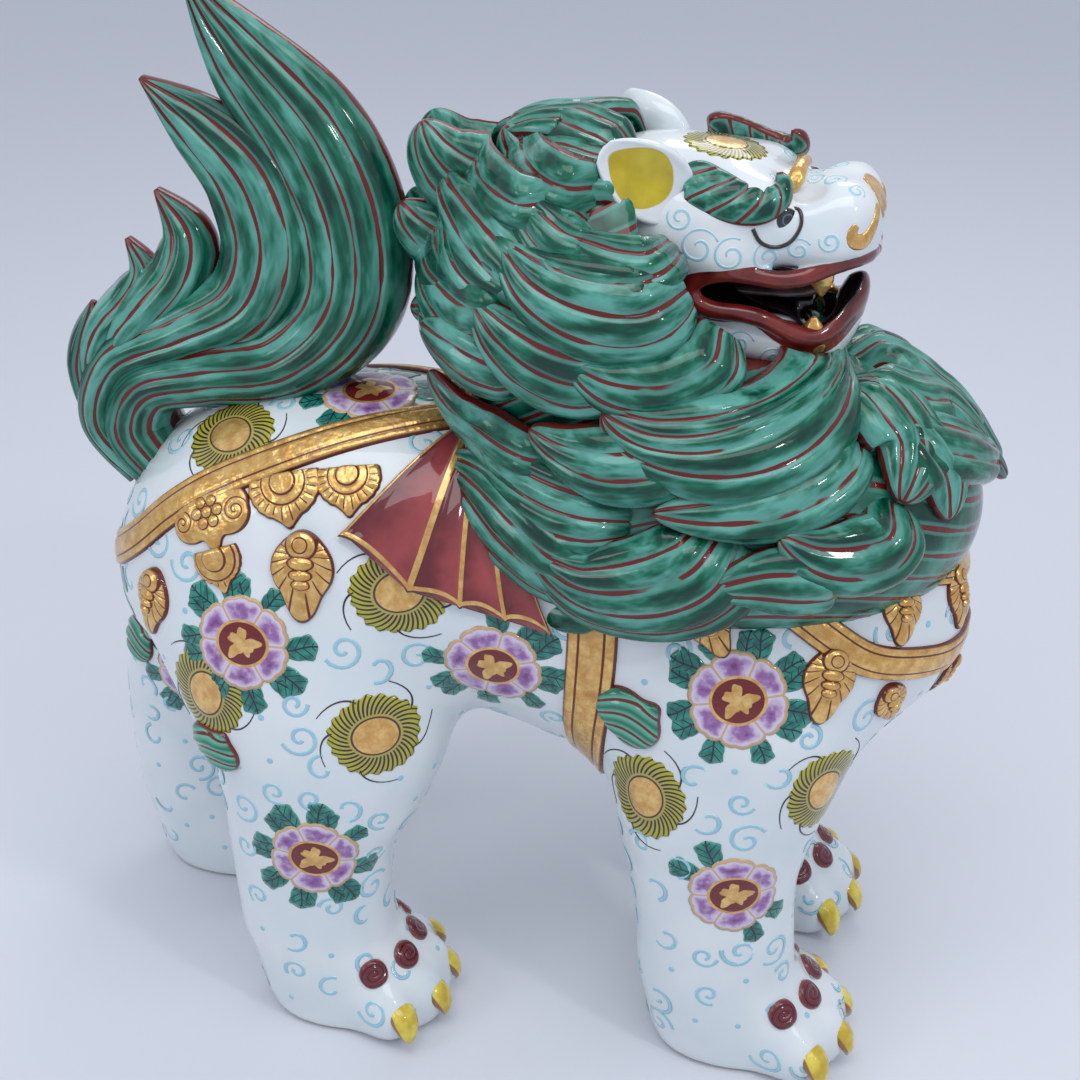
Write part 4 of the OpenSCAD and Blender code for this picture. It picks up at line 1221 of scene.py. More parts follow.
def strapLines(tree):
    share = reading(tree, "share")
    edge = ramp(share, 0.86, 0.92)
    return calc("MAXIMUM", edge, lineAt(share, 0.5, 0.05))


# beads down the leaf: place and half sizes
leafBeads = [(8.5, 5.4, 5.0), (2.2, 4.5, 2.4), (-1.8, 4.0, 2.0), (-5.2, 3.2, 1.8)]


def leafLines(tree):
    u, v, r, a = planOf(tree)
    share = reading(tree, "share")
    ray = calc("ARCTAN2", v - 5.0, u)
    comb = abs(wave(ray, 9.0, 0.4))
    mask = fade(comb, 0.14, 0.3)
    mask = mask * ramp(share, 0.42, 0.5)
    for place, wide, high in leafBeads:
        d = calc("SQRT", (u / wide)**2.0 + ((v - place) / high)**2.0)
        inside = ramp(d, 0.98, 1.05)
        mask = calc("MAXIMUM", mask * inside, lineAt(d, 1.02, 0.09))
    coil = calc("SQRT", u**2.0 + (v - 8.5)**2.0)
    mask = calc("MAXIMUM", mask, lineAt(coil, 2.6, 0.28))
    return calc("MAXIMUM", mask, ramp(share, 0.91, 0.95))


def rosetteLines(tree):
    u, v, r, a = planOf(tree)
    share = reading(tree, "share")
    comb = fade(abs(wave(a, 11.0, 0.2)), 0.16, 0.34) * (ramp(r, 7.8, 8.2) * fade(share, 0.86, 0.9))
    mask = calc("MAXIMUM", comb, calc("MAXIMUM", lineAt(r, 4.2, 0.3), lineAt(r, 7.4, 0.3)))
    return calc("MAXIMUM", mask, ramp(share, 0.92, 0.955))


cloudBeads = [(0.0, 0.5)]  # one in the middle and six around it
for turn in range(0, 360, 60):
    cloudBeads.append((3.9 * math.cos(math.radians(turn)), 0.5 + 3.9 * math.sin(math.radians(turn))))
cloudCoils = [(-10.2, -1.0, 1.0), (10.2, -1.0, -1.0)]


def cloudLines(tree):
    u, v, r, a = planOf(tree)
    share = reading(tree, "share")
    mask = ramp(share, 0.92, 0.955)
    for x, y in cloudBeads:
        d = calc("SQRT", (u - x)**2.0 + (v - y)**2.0)
        mask = calc("MAXIMUM", mask, lineAt(d, 1.9, 0.2))
    for x, y, hand in cloudCoils:
        du, dv = u - x, v - y
        d = calc("SQRT", du**2.0 + dv**2.0)
        swirl = calc("ARCTAN2", dv, du * hand) / (2 * math.pi)
        turns = calc("FRACT", d / 2.3 - swirl + 4.0)
        coil = lineAt(turns, 0.5, 0.11) * fade(d, 4.4, 4.8)
        mask = calc("MAXIMUM", mask, coil)
    return mask


def leafRelief(plan, share):
    u, v = plan[..., 0], plan[..., 1]
    ray = np.arctan2(v - 5.0, u)
    rays = 0.35 * np.abs(np.sin(9 * ray + 0.4)) * step(0.35, 0.5, share)
    height = 2.4 * np.sqrt(np.maximum(1 - share**4, 0)) + rays
    for place, wide, high in leafBeads:
        d = (u / wide) ** 2 + ((v - place) / high) ** 2
        height = np.maximum(height, 2.2 + 2.1 * np.sqrt(np.maximum(1 - d, 0)) - 3 * (d > 1))
    return height


def rosetteRelief(plan, share):
    r = np.linalg.norm(plan, axis=-1)
    a = np.arctan2(plan[..., 1], plan[..., 0])
    rays = 0.35 * np.abs(np.sin(11 * a + 0.2)) * step(7.6, 8.6, r)
    height = 1.5 + 0.9 * (1 - step(3.9, 4.7, r)) + 0.5 * (1 - step(7.0, 7.8, r)) + rays
    return height * np.sqrt(np.maximum(1 - share**8, 0))


def cloudRelief(plan, share):
    u, v = plan[..., 0], plan[..., 1]
    height = 1.7 * np.sqrt(np.maximum(1 - share**6, 0))
    for x, y in cloudBeads:
        d = ((u - x) ** 2 + (v - y) ** 2) / 1.9**2
        height = np.maximum(height, 1.4 + 1.5 * np.sqrt(np.maximum(1 - d, 0)) - 3 * (d > 1))
    for x, y, hand in cloudCoils:
        d = np.hypot(u - x, v - y)
        swirl = np.arctan2(v - y, (u - x) * hand) / (2 * math.pi)
        coil = 0.55 * (0.5 + 0.5 * np.cos(2 * math.pi * (d / 2.3 - swirl)))
        height = height + coil * (1 - step(4.2, 5.0, d)) * (1 - share**6)
    return height


def leafEdge(length):
    def reach(a):
        point = 8.4 * np.exp(-((a - 1.5 * math.pi) / 0.42) ** 2)
        return length / 34 * (11.6 + point + 2.4 * np.exp(-((a - 0.5 * math.pi) / 0.5) ** 2))
    return polar(reach, 96)


def halfEdge(radius):
    def reach(a):
        lower = radius + 3.2 * np.exp(-((a - 1.5 * math.pi) / 0.2) ** 2) + 0.3 * np.abs(np.sin(11 * a + 0.2))
        return np.where(np.sin(a) > 0.02, np.minimum(radius, 3.4 / np.maximum(np.sin(a), 0.02)), lower)
    return polar(reach, 96)


def cloudEdge(size):
    def reach(a):
        wide = 11.5 + 3.6 * np.cos(2 * a) + 1.0 * np.abs(np.sin(3 * a))
        return size / 15 * (wide + 3.0 * np.exp(-((a - 1.5 * math.pi) / 0.25) ** 2) * 1.6)
    return polar(reach, 108)


sprigs = {  # place on the right side, turn in degrees, size in mm
    "leaf_pendants_rump": [((-64, -57, 196), 0, 32), ((-120, -47, 176), -10, 27)],
    "leaf_pendants_breast": [((68, -55, 186), 30, 22), ((107, -57, 169), -15, 27), ((129, -41, 188), -10, 23),
                             ((148, -21, 184), -5, 23), ((129, -46, 155), 25, 20), ((149, -14, 150), 5, 20)],
    "rosette_sprigs": [((-72, -43, 219), 18, 12.5), ((-51, -41, 222), 8, 11.0)],
    "rump_cloud_sprigs": [((-97, -46, 208), 25, 15), ((-94, -54, 196), 22, 9)],
}


drawnSize = {"leaf": 34, "half": 12.5, "cloud": 15}  # the sizes in mm that the reliefs are written for


def sprigPieces(ground):
    makers = {"leaf": (leafEdge, leafRelief, goldMaterial("giltLeaves", leafLines)),
              "half": (halfEdge, rosetteRelief, goldMaterial("giltRosettes", rosetteLines)),
              "cloud": (cloudEdge, cloudRelief, goldMaterial("giltClouds", cloudLines))}
    kinds = {"leaf_pendants_rump": "leaf", "leaf_pendants_breast": "leaf", "rosette_sprigs": "half",
             "rump_cloud_sprigs": "cloud"}
    for name, spots in sprigs.items():
        edge, relief, material = makers[kinds[name]]
        patches, lower = Patches(), Patches()
        for spot, turn, size in spots:
            for hand in (1, -1):
                seat = ground.seat(np.array(spot) * (1, hand, 1), turn * hand)
                if name == "rump_cloud_sprigs" and size < 12:  # the small half rosette under the cloud
                    lower.disc(ground, seat, halfEdge(size), rosetteRelief, rings=18)
                    continue
                scale = size / drawnSize[kinds[name]]

                def scaled(plan, share, k=scale):
                    return relief(plan / k, share) * min(1, 0.75 + 0.25 * k)

                patches.disc(ground, seat, edge(size), scaled, rings=26)
                patches.plans[-1][:, :2] /= scale
        settle(patches.make("gilt_" + name, material), "gilding", name)
        if lower.count:
            settle(lower.make("giltCloudTails", makers["half"][2]), "gilding")


def strapPieces(ground):
    material = goldMaterial("giltStraps", strapLines)
    for name, route in strapRoutes.items():
        patches = Patches()
        bandAlong(patches, ground, route, strapStyle[name], strapStyle["rise"])
        settle(patches.make("band_" + name, material), "gilding", name)
    report("straps")


flapStyle = {"apex": (-13, -15, 236), "pleat": 1.7, "base": 1.3, "rib": 0.95,
             "hem": [(-52, -54, 207), (-29, -58, 191), (-12, -58, 186), (3, -58, 182), (18, -58, 178)]}


def flapMaterial():
    material, tree, pool = enamel("maroonPleats", 0.22, 120.0, 0.2)
    parts = node(tree, "ShaderNodeSeparateXYZ", {0: vectorOf(tree, "plan")}).outputs
    ribMm, hemMm, pleat = map(Flow, parts)
    wash = mottle(tree, 60.0, 4.0)
    red = mix(ramp(pleat * 0.5 + wash, 0.45, 1.1),
              (0.115, 0.010, 0.016, 1), (0.36, 0.058, 0.062, 1))
    gold, rough = gilt(tree)
    rib = fade(ribMm, 0.8, 1.0)
    hem = fade(hemMm, 2.2, 2.4) * ramp(hemMm, 0.7, 0.9)
    mask = calc("MAXIMUM", rib * ramp(hemMm, 0.7, 0.9), hem)
    return dress(material, mix(mask, red, gold), Metallic=mask * 0.65)


def flapPieces(ground):
    material = flapMaterial()
    style = flapStyle
    for hand, side in ((1, "right"), (-1, "left")):
        apex = np.array(style["apex"], float)
        hem = np.array(style["hem"], float)
        pleats = len(hem) - 1
        s = np.linspace(0, pleats, pleats * 14 + 1)
        line = along(hem, s / pleats)
        bow = np.sin(math.pi * (s % 1)) ** 0.8
        line = apex + (line - apex) * (1 - 0.05 * bow[:, None])
        t = np.linspace(0.02, 1, 36)
        spots = apex + (line - apex)[None] * t[:, None, None]
        spots[..., 1] *= hand
        at, n = ground.touch(toFrame(spots))
        for _ in range(5):
            n[1:-1] = unit(n[:-2] + n[1:-1] + n[2:])
            n[:, 1:-1] = unit(n[:, :-2] + n[:, 1:-1] + n[:, 2:])
        gap = np.linalg.norm(np.diff(hem, axis=0), axis=1).mean()
        ribMm = np.abs(s - np.round(s))[None] * gap * t[:, None]
        hemMm = (1 - t[:, None]) * np.linalg.norm(line - apex, axis=1)[None]
        saw = (s % 1)[None] + 0 * t[:, None]
        fold = style["pleat"] * np.sin(math.pi * np.clip(saw, 0, 1)) ** 0.7 * np.minimum(t[:, None] * 1.6, 1)
        height = style["base"] + fold + style["rib"] * (1 - step(0.5, 1.3, ribMm))
        height = height + 0.8 * (1 - step(1.6, 2.6, hemMm))
        top = at + n * height[..., None] * 0.001
        base = (at - n * 0.0006)[:, ::-1]
        rings = np.concatenate([top, base], axis=1)
        plan = np.stack([ribMm, hemMm + 0 * ribMm, saw], -1)
        under = np.stack([0 * ribMm + 5, 0 * ribMm, saw], -1)
        patches = Patches()
        patches.keep(rings.reshape(-1, 3), gridFaces(len(t), rings.shape[1]),
                     np.concatenate([plan, under], axis=1).reshape(-1, 3), np.ones(rings[..., 0].size))
        settle(patches.make("pleatedFlap_" + side, material), "maroon_enamel", "saddle_flap_" + side)
    report("flaps")


# claws, spiral studs and tufts
clawStyle = {"angles": [-46, -16, 14, 44], "wide": 1.12,  # the path: out, up and half height
             "path": [(28, 17, 3.2), (33, 16.5, 4.5), (36.3, 13.5, 4.6), (38.2, 10, 3.4), (38.7, 7.2, 2.0),
                      (38.4, 5.2, 0.7)]}
studStyle = {"angles": [-57, -20, 17, 54], "reach": 22.5, "height": 29, "radius": 5.6, "rise": 2.0}


def clawMaterial():
    material, tree, pool = enamel("citronClaws", 0.25, 200.0, 0.2)
    share = reading(tree, "share")
    wash = mottle(tree, 140.0, 3.0)
    yellow = mix(ramp(wash, 0.35, 0.7), (0.52, 0.36, 0.02, 1), (0.80, 0.66, 0.09, 1))
    edge = ramp(share + wash * 0.12, 0.86, 0.97)
    return dress(material, mix(edge, yellow, (0.30, 0.12, 0.03, 1)))


def studMaterial():
    material, tree, pool = enamel("spiralStuds", 0.2, 260.0, 0.25)
    u, v, r, a = planOf(tree)
    turns = calc("FRACT", r / 2.1 - a / (2 * math.pi) + 4.0)
    groove = lineAt(turns, 0.5, 0.13)
    share = reading(tree, "share")
    edge = ramp(share, 0.9, 1.0)
    colour = mix(groove, (0.15, 0.012, 0.022, 1), (0.035, 0.004, 0.008, 1))
    return dress(material, mix(edge, colour, (0.26, 0.09, 0.07, 1)))


def tuftMaterial():
    material, tree, pool = enamel("jadeTufts", 0.25, 140.0, 0.22)
    u, v, r, a = planOf(tree)
    slant = (v + u**2.0 * 0.035) / 5.0
    off = abs(calc("FRACT", slant + 8.0) - 0.5)
    share = reading(tree, "share")
    line = calc("MAXIMUM", fade(off, 0.08, 0.13), ramp(share, 0.93, 0.97))
    green = mix(ramp(off, 0.15, 0.5), (0.12, 0.40, 0.30, 1), (0.004, 0.16, 0.09, 1))
    return dress(material, mix(line, green, oxblood))


tufts = {"elbow_tufts": [((44, -60, 151), -8, 11.0), ((46, 58, 150), 8, 11.0)],
         "hock_tufts": [((-100, -61, 125), 10, 10.0), ((-158, 20, 118), -10, 10.0)]}


def pawPieces(ground):
    clawPaint, studPaint = clawMaterial(), studMaterial()
    for leg, (x, side, centre, _) in legShapes.items():
        claw, stud = Patches(), Patches()
        for angle in clawStyle["angles"]:
            a = math.radians(angle)
            out, across = np.array((math.cos(a), math.sin(a), 0)), np.array((-math.sin(a), math.cos(a), 0))
            t = np.linspace(0, 1, 16)
            p = along(clawStyle["path"], t)
            middle = np.array((x + centre, side * legLine, 0)) + out * p[:, :1]
            middle = middle + np.array((0, 0, 1)) * p[:, 1:2]
            ahead = unit(np.gradient(middle, axis=0))
            up = np.cross(ahead, across)
            q = ringAngles(16)
            half = p[:, 2, None, None]
            rings = middle[:, None] + across * (np.cos(q) * clawStyle["wide"])[None, :, None] * half
            rings = rings + up[:, None] * np.sin(q)[None, :, None] * half * 0.8
            spread = np.maximum(np.abs(np.cos(q))[None] ** 1.5, step(0.86, 1.0, t)[:, None])
            claw.tube(toFrame(rings), spread)
        for angle in studStyle["angles"]:
            a = math.radians(angle)
            reach = studStyle["reach"]
            spot = (x + centre + reach * math.cos(a), side * legLine + reach * math.sin(a), studStyle["height"])

            def relief(plan, share):
                r = np.linalg.norm(plan, axis=-1)
                swirl = np.arctan2(plan[..., 1], plan[..., 0]) / (2 * math.pi)
                turns = 0.5 + 0.5 * np.cos(2 * math.pi * (r / 2.1 - swirl))
                dome = studStyle["rise"] * np.sqrt(np.maximum(1 - share**5, 0))
                return dome + 0.35 * turns * (1 - share**4)

            edge = polar(lambda q: studStyle["radius"] + 0 * q, 40)
            stud.disc(ground, ground.seat(spot, 20 * side), edge, relief, rings=12)
        where = leg[4:]
        settle(claw.make("claws_of_" + where, clawPaint), "citron_enamel", "claws_" + where)
        settle(stud.make("studs_of_" + where, studPaint), "maroon_enamel", "toe_studs_" + where)
    paintTuft = tuftMaterial()
    for name, spots in tufts.items():
        patches = Patches()
        for spot, turn, size in spots:
            edge = polar(lambda a: size * (1.0 + 0.16 * np.cos(2 * a + 1.0)
                                           + 0.28 * np.exp(-((a - 0.7) / 0.3) ** 2)), 60)

            def shell(plan, share):
                slant = (plan[..., 1] + 0.035 * plan[..., 0] ** 2) / 5.0
                folds = np.abs(np.sin(math.pi * (slant - 0.5))) ** 0.7
                return 3.4 * np.sqrt(np.maximum(1 - share**3, 0)) + folds * (1 - share**6)

            patches.disc(ground, ground.seat(spot, turn), edge, shell, rings=18)
        settle(patches.make("swirl_" + name, paintTuft), "jade_enamel", name)
    report("paws and tufts")


quietSpots = [(44, -60, 151, 14), (46, 58, 150, 14)]  # x, y, z and how far the scrolls keep away
for ahead, beside, high, clear in (
        (-96, 48, 206, 17), (-72, 44, 218, 15), (-51, 42, 221, 14), (-64, 57, 196, 19), (-30, 50, 206, 24),
        (-5, 50, 200, 26), (107, 57, 169, 15), (-120, 47, 176, 14)):
    quietSpots += [(ahead, side * beside, high, clear) for side in (-1, 1)]


# head
headTurn = {"pivot": (40, 0, 290), "turn": -8.0, "roll": 5.0}
muzzleShape = [  # x, middle height, half width, half height
    [44, 303, 22, 14], [56, 304, 26, 17], [68, 304.5, 26.5, 17.5], [78, 304.5, 25, 15.5], [86, 305, 23, 12.5],
    [92, 306, 21.5, 12.2], [99, 307.5, 20.5, 12.4], [106, 307.5, 19.5, 12.2], [111, 306.5, 17, 10.5],
    [115, 305, 12, 8],
]
jawShape = [
    [44, 280, 22, 14], [58, 277, 25.5, 12.5], [72, 274, 25.5, 11.5], [82, 271.5, 24, 11], [90, 270, 22, 11],
    [97, 270.5, 19.5, 12], [103, 273, 15.5, 13], [107, 276, 10.5, 12], [111, 278, 5, 9],
]
roof = [[58, 289], [62, 291], [67, 292.5], [75, 292.5], [84, 291], [90, 291], [95, 292], [99, 294.5],
        [104, 297.5], [110, 299], [118, 299]]  # of the mouth: x and height
floorLine = [[58, 288.5], [62, 287], [67, 287], [75, 285.5], [82, 283.5], [88, 280.5], [93, 277],
             [97, 275.5], [101, 277], [105, 280], [112, 284]]
lipPath = [  # along one side: x, y, z, half width of the red
    (112.5, 0, 297, 2.4), (112, 9, 298, 2.6), (108.5, 15.5, 298.6, 3.0), (102, 19, 296.8, 3.2),
    (95, 21.5, 294, 3.2), (88, 23.5, 293, 3.2), (80, 25, 294.2, 3.3), (72, 26, 295, 3.6), (65, 26.5, 293.5, 3.8),
    (60.5, 26.5, 289.5, 3.9), (62, 26.5, 285, 3.9), (68, 26.2, 282.6, 3.9),
    (76, 25.6, 282, 3.7), (83, 24.2, 280.2, 4.0),
    (89, 22.2, 276.5, 4.6), (95, 19.8, 273.4, 5.2), (100, 16.6, 273, 5.6), (104, 12, 275.2, 5.8),
    (107, 6, 279, 5.8), (108, 0, 280.5, 5.8),
]


def turnHead(points):  # the head's own mm to the drawing's, then to the frame
    p = np.asarray(points, float) - headTurn["pivot"]
    roll, turn = math.radians(headTurn["roll"]), math.radians(headTurn["turn"])
    c, s = math.cos(roll), math.sin(roll)
    x, y, z = p[..., 0], p[..., 1] * c - p[..., 2] * s, p[..., 1] * s + p[..., 2] * c
    c, s = math.cos(turn), math.sin(turn)
    return toFrame(np.stack([x * c - y * s, x * s + y * c, z], -1) + headTurn["pivot"])


def loftField(clay, stations, power):
    gx, gy, gz = clay.axes()
    s = byStation(stations, clay.x)
    cz, a, b = (s[:, k][:, None, None] for k in (1, 2, 3))
    first, last = stations[0][0], stations[-1][0]
    d = roundField(gy + 0 * gx, gz - cz, np.maximum(a, 2), np.maximum(b, 2), power)
    d = -blend(-d, np.broadcast_to(last - 0.4 - gx, d.shape), 7)
    return -blend(-d, np.broadcast_to(gx - first, d.shape), 5)


def lipDistance(points):  # distance to the drawn middle of the lips, less the half width of the red
    path = np.array(lipPath, float)
    path = along(path, np.linspace(0, 1, 90))
    best = np.full(len(points), 1e3)
    q = np.stack([points[:, 0], np.abs(points[:, 1]), points[:, 2]], -1)
    for a, b in zip(path[:-1], path[1:]):
        ab = b[:3] - a[:3]
        t = np.clip(((q - a[:3]) @ ab) / (ab @ ab), 0, 1)
        d = np.linalg.norm(q - a[:3] - t[:, None] * ab, axis=1) - (a[3] + (b[3] - a[3]) * t)
        best = np.minimum(best, d)
    return best


def headClay():
    clay = Clay((8, -38, 254), (122, 38, 340), 0.9)
    axes = gx, gy, gz = clay.axes()
    full = np.zeros(clay.shape, np.float32)
    ay = np.abs(gy)
    skull = egg(axes, (46, 0, 304), (31, 30, 24)) + full
    skull = blend(skull, egg(axes, (64, 0, 309), (22, 24, 15.5), 0, 0.10) + full, 10)
    upper = blend(skull, loftField(clay, muzzleShape, 2.7), 9)
    mirrored = (gx, ay, gz)
    upper = blend(upper, egg(mirrored, (73, 15, 315.5), (13, 9.5, 6.5), 0.1, 0.12) + full, 5)  # brow
    upper = blend(upper, egg(mirrored, (104, 9.5, 311), (7.5, 8.5, 8.0)) + full, 4)  # nostril wings
    upper = blend(upper, egg(mirrored, (97, 14.5, 303), (13, 8, 7.5)) + full, 5)  # whisker pads
    upper = blend(upper, egg(mirrored, (68, 17, 299), (13, 12, 8)) + full, 6)  # cheek bones
    bridge = egg(axes, (87.5, 0, 316.5), (4.2, 8.5, 4.0)) + full
    upper = blend(upper, bridge, 2.5)
    upper = carve(upper, egg(mirrored, (92, 13, 319), (5, 6, 3.5)) + full, 4)  # beside the bridge
    jaw = loftField(clay, jawShape, 2.6)
    whole = blend(upper, jaw, 7)
    lipTip = egg(axes, (106.5, 0, 281.5), (5.2, 8.5, 8.5), 0, -0.25) + full
    whole = blend(whole, lipTip, 4)
    shut = loftField(clay, [[60, 288, 24, 10], [72, 288, 24.5, 10], [84, 287, 22.5, 10], [95, 286, 20, 10],
                            [104, 287, 16, 9], [110, 289, 11, 7]], 2.6)
    solid = blend(whole, shut, 4)  # as if the mouth were filled, to tell how far inside a point lies
    high = byStation(roof, clay.x)[:, 1][:, None, None]
    low = byStation(floorLine, clay.x)[:, 1][:, None, None]
    low = low + 7.0 * step(99, 106, gx) * np.exp(-(gy / 7.5) ** 2)
    slot = np.maximum(np.maximum(gz - high, low - gz), 62.0 - gx)
    core = np.maximum(np.abs(gy) - 7.0, gx - 96.0) + 0 * gz  # the middle of the mouth stays closed: a solid block painted black, standing in for the mouth's painted shade
    slot = np.maximum(slot, -core)
    inner = np.maximum(np.maximum(np.maximum(gz - high - 4 * np.exp(-(gy / 12) ** 4), 270 - gz), 60 - gx),
                       whole + 6.5)
    inner = np.maximum(np.maximum(inner, gz - high - 4), -core)
    whole = carve(whole, slot + full, 3.0)
    whole = carve(whole, inner, 3.0)
    path = np.array(lipPath, float)
    path = along(path, np.linspace(0, 1, 56))
    for x, y, z, half in path:
        for side in ((-1, 1) if y > 0.5 else (1,)):
            cut, near = clay.near((x - 7, side * y - 7, z - 7), (x + 7, side * y + 7, z + 7))
            inward = 0.55
            off = (near[0] - x + inward) ** 2 + (near[1] - side * (y - inward)) ** 2 + (near[2] - z) ** 2
            whole[cut] = blend(whole[cut], np.sqrt(off) - 2.7, 1.6)
    return clay, whole, solid


faceWhites = (0.67, 0.735, 0.77, 1), (0.76, 0.79, 0.81, 1)


def headMaterial():
    material, tree, pool = enamel("faceEnamel", 0.26, 60.0, 0.10)
    white = mix(ramp(pool, 0.3, 0.75), *faceWhites)
    wash = mottle(tree, 90.0, 4.0)
    red = mix(ramp(wash, 0.35, 0.7), (0.115, 0.008, 0.008, 1), (0.235, 0.024, 0.018, 1))
    lip = reading(tree, "lipMm") + (wash - 0.5) * 0.5
    colour = mix(fade(lip, -0.15, 0.15), white, red)
    # painted shade: surfaces more than 0.8 mm inside the filled head, in the mouth, are painted near black as
    # the mouth's shadow
    deep = fade(reading(tree, "mouthShadeMm"), -0.6, 0.6)
    colour = mix(deep, colour, (0.006, 0.003, 0.004, 1))
    return dress(material, colour)


curls = [  # small scrolls on the right of the face: x, y, z, radius, where the curl opens in degrees
    (63, -30, 304, 5.5, 20), (73, -30, 302, 5.0, 60), (57, -30, 313, 3.6, 150), (84, -26, 300, 4.2, 100),
    (92, -24, 303, 3.4, 30), (101, -22, 306, 3.0, 160), (99, -7, 322, 3.6, 20), (93, -3, 322, 2.8, 200),
    (76, -26, 272, 4.0, 10), (66, -28, 276, 4.0, 120), (86, -24, 266, 3.6, 60), (106, -12, 317, 2.6, 300),
    (50, -31, 303, 4.0, 250), (56, -31, 295, 3.6, 30), (84, -12, 322, 2.6, 90),
]
faceMarks = {  # strokes as the head's own x, y, z on the right side; width in mm; y is mirrored for the left
    "band": [(86.5, -11, 316.5, 1.8), (88, -8, 319.8, 2.7), (88.5, -3, 321.6, 2.3), (88.5, 3, 321.6, 2.3),
             (88, 8, 319.8, 2.7), (86.5, 11, 316.5, 1.8)],
    "gold": [
        ([(109, -2, 316), (110.5, -7, 313), (110, -11, 309), (107, -14, 306), (102.5, -16, 306),
          (100.5, -16.5, 309), (102.5, -15.5, 311)], 5.2),
        ([(106, 0, 320), (110, -2, 316), (113, -3, 311), (113, -4, 307)], 7.0),
    ],
}


def strokesOn(ground, marks, patches, rise):
    for path, width in marks:
        for side in (1, -1):
            p = np.array(path, float) * (1, side, 1)
            t = np.linspace(0, 1, 8 * len(p))
            line = along(p, t)
            seat = ground.seat(line[len(line) // 2], drawn=turnHead)
            where, right, up, out = seat
            local = (turnHead(line) - where) * 1000
            plan = np.stack([local @ right, local @ up], -1)
            swell = 0.35 + 0.65 * np.sin(math.pi * np.clip(t * 0.9 + 0.08, 0, 1)) ** 0.6
            patches.ribbon(ground, seat, plan, width * swell, rise, across=6, sink=0.4)


def headPieces():
    clay, field, solid = headClay()
    points, quads = clay.skin(field)
    normal = clay.normals(field, points)
    lip = lipDistance(points)
    depth = clay.sample(solid, points)
    high = byStation(roof, points[:, 0])[:, 1]
    low = byStation(floorLine, points[:, 0])[:, 1]
    # painted shade: how deep inside the filled head a point lies, for painting the mouth near black
    mouthShade = depth + 0.8
    tip = np.linalg.norm((points - (106.5, 0, 284)) / (8, 11, 8.5), axis=1) * 8.5 - 8.5
    lip = np.where(points[:, 2] < high + 1.0, np.minimum(lip, tip), lip)
    isJaw = points[:, 2] < (high + low) / 2
    isJaw &= points[:, 0] > 60
    faceJaw = isJaw[quads].sum(axis=1) > 2
    made, material = [], headMaterial()
    roll = turnHead(normal * 1000) - turnHead(normal * 0)
    halves = (("headFace", quads[~faceJaw], "head_shell"), ("lowerJawFace", quads[faceJaw], "lower_jaw"))
    for name, mine, nodeName in halves:
        thing, used = cutOut(name, turnHead(points), mine, unit(roll))
        paint(thing, "lipMm", lip[used])
        paint(thing, "mouthShadeMm", mouthShade[used])
        thing.data.materials.append(material)
        made.append(settle(thing, "white_porcelain", nodeName))
    face = Ground(*made)
    blue, gold = Patches(), Patches()
    t = np.linspace(0, 1, 40)
    for x, y, z, radius, opening in curls:
        for side in (1, -1):
            seat = face.seat((x, side * y, z), drawn=turnHead)
            a = (math.radians(opening) + t * 8.5) * side
            plan = radius * (1.15 - t)[:, None] ** 0.8 * np.stack([np.cos(a), np.sin(a)], -1)
            width = 1.25 * (0.55 + 0.45 * np.sin(math.pi * t))
            blue.ribbon(face, seat, plan, width, 0.12, across=4, sink=0.4)
    strokesOn(face, faceMarks["gold"], gold, 0.35)
    settle(blue.make("faceScrolls", skyPaint), "white_porcelain")
    plain = goldMaterial("giltFace", lambda tree: ramp(reading(tree, "share"), 0.93, 0.99))
    band = Patches()
    q = along(np.array(faceMarks["band"], float), np.linspace(0, 1, 40))
    a = ringAngles(20)
    ring = np.stack([np.cos(a), 0 * a, 0.8 * np.sin(a)], -1)
    band.tube(turnHead(q[:, None, :3] + ring[None] * q[:, 3, None, None]))
    settle(band.make("noseBand", plain), "gilding", "nose_knob")
    settle(gold.make("nostrilCurls", plain), "gilding")
    sun = Patches()
    seat = face.seat((65, 0, 325), drawn=turnHead, head=(1, 0, 0), turn=90)
    edge = polar(lambda a: 13.0 * (1 + 0.05 * np.sin(19 * a)), 114)
    edge[:, 1] *= 0.85
    sun.disc(face, seat, edge, lambda plan, share: 0.2 + 0.3 * (1 - step(0.4, 0.5, share)), rings=10)
    sun.plans[-1][:, :2] *= 16.5 / 13.0
    settle(sun.make("foreheadSun", sunPaint), "citron_enamel")
    eyesAndBrows(face)
    ears()
    mouthPieces()
    report("head")
    return face


eyeStyle = {"place": (84.5, 16.5, 311.0), "radius": 6.4, "look": (0.58, 0.80, 0.10),
            "rim": [(77.5, 22.5, 308.6), (80, 22.6, 304.6), (84.5, 22.2, 302.8), (89, 20.6, 305.0),
                    (91.4, 18.4, 309.5), (90.2, 17.6, 314.5), (87.0, 18.6, 317.5)]}


def eyeMaterial():
    material, tree, pool = enamel("eyeEnamel", 0.15, 300.0, 0.08)
    d = reading(tree, "gaze")
    wash = mottle(tree, 300.0, 2.0)
    colour = mix(fade(d, 31.0, 33.0), mix(wash, (0.80, 0.84, 0.86, 1), (0.9, 0.9, 0.88, 1)),
                 (0.02, 0.025, 0.035, 1))
    colour = mix(lineAt(d, 15.0, 2.2), colour, (0.10, 0.13, 0.16, 1))
    return dress(material, colour)


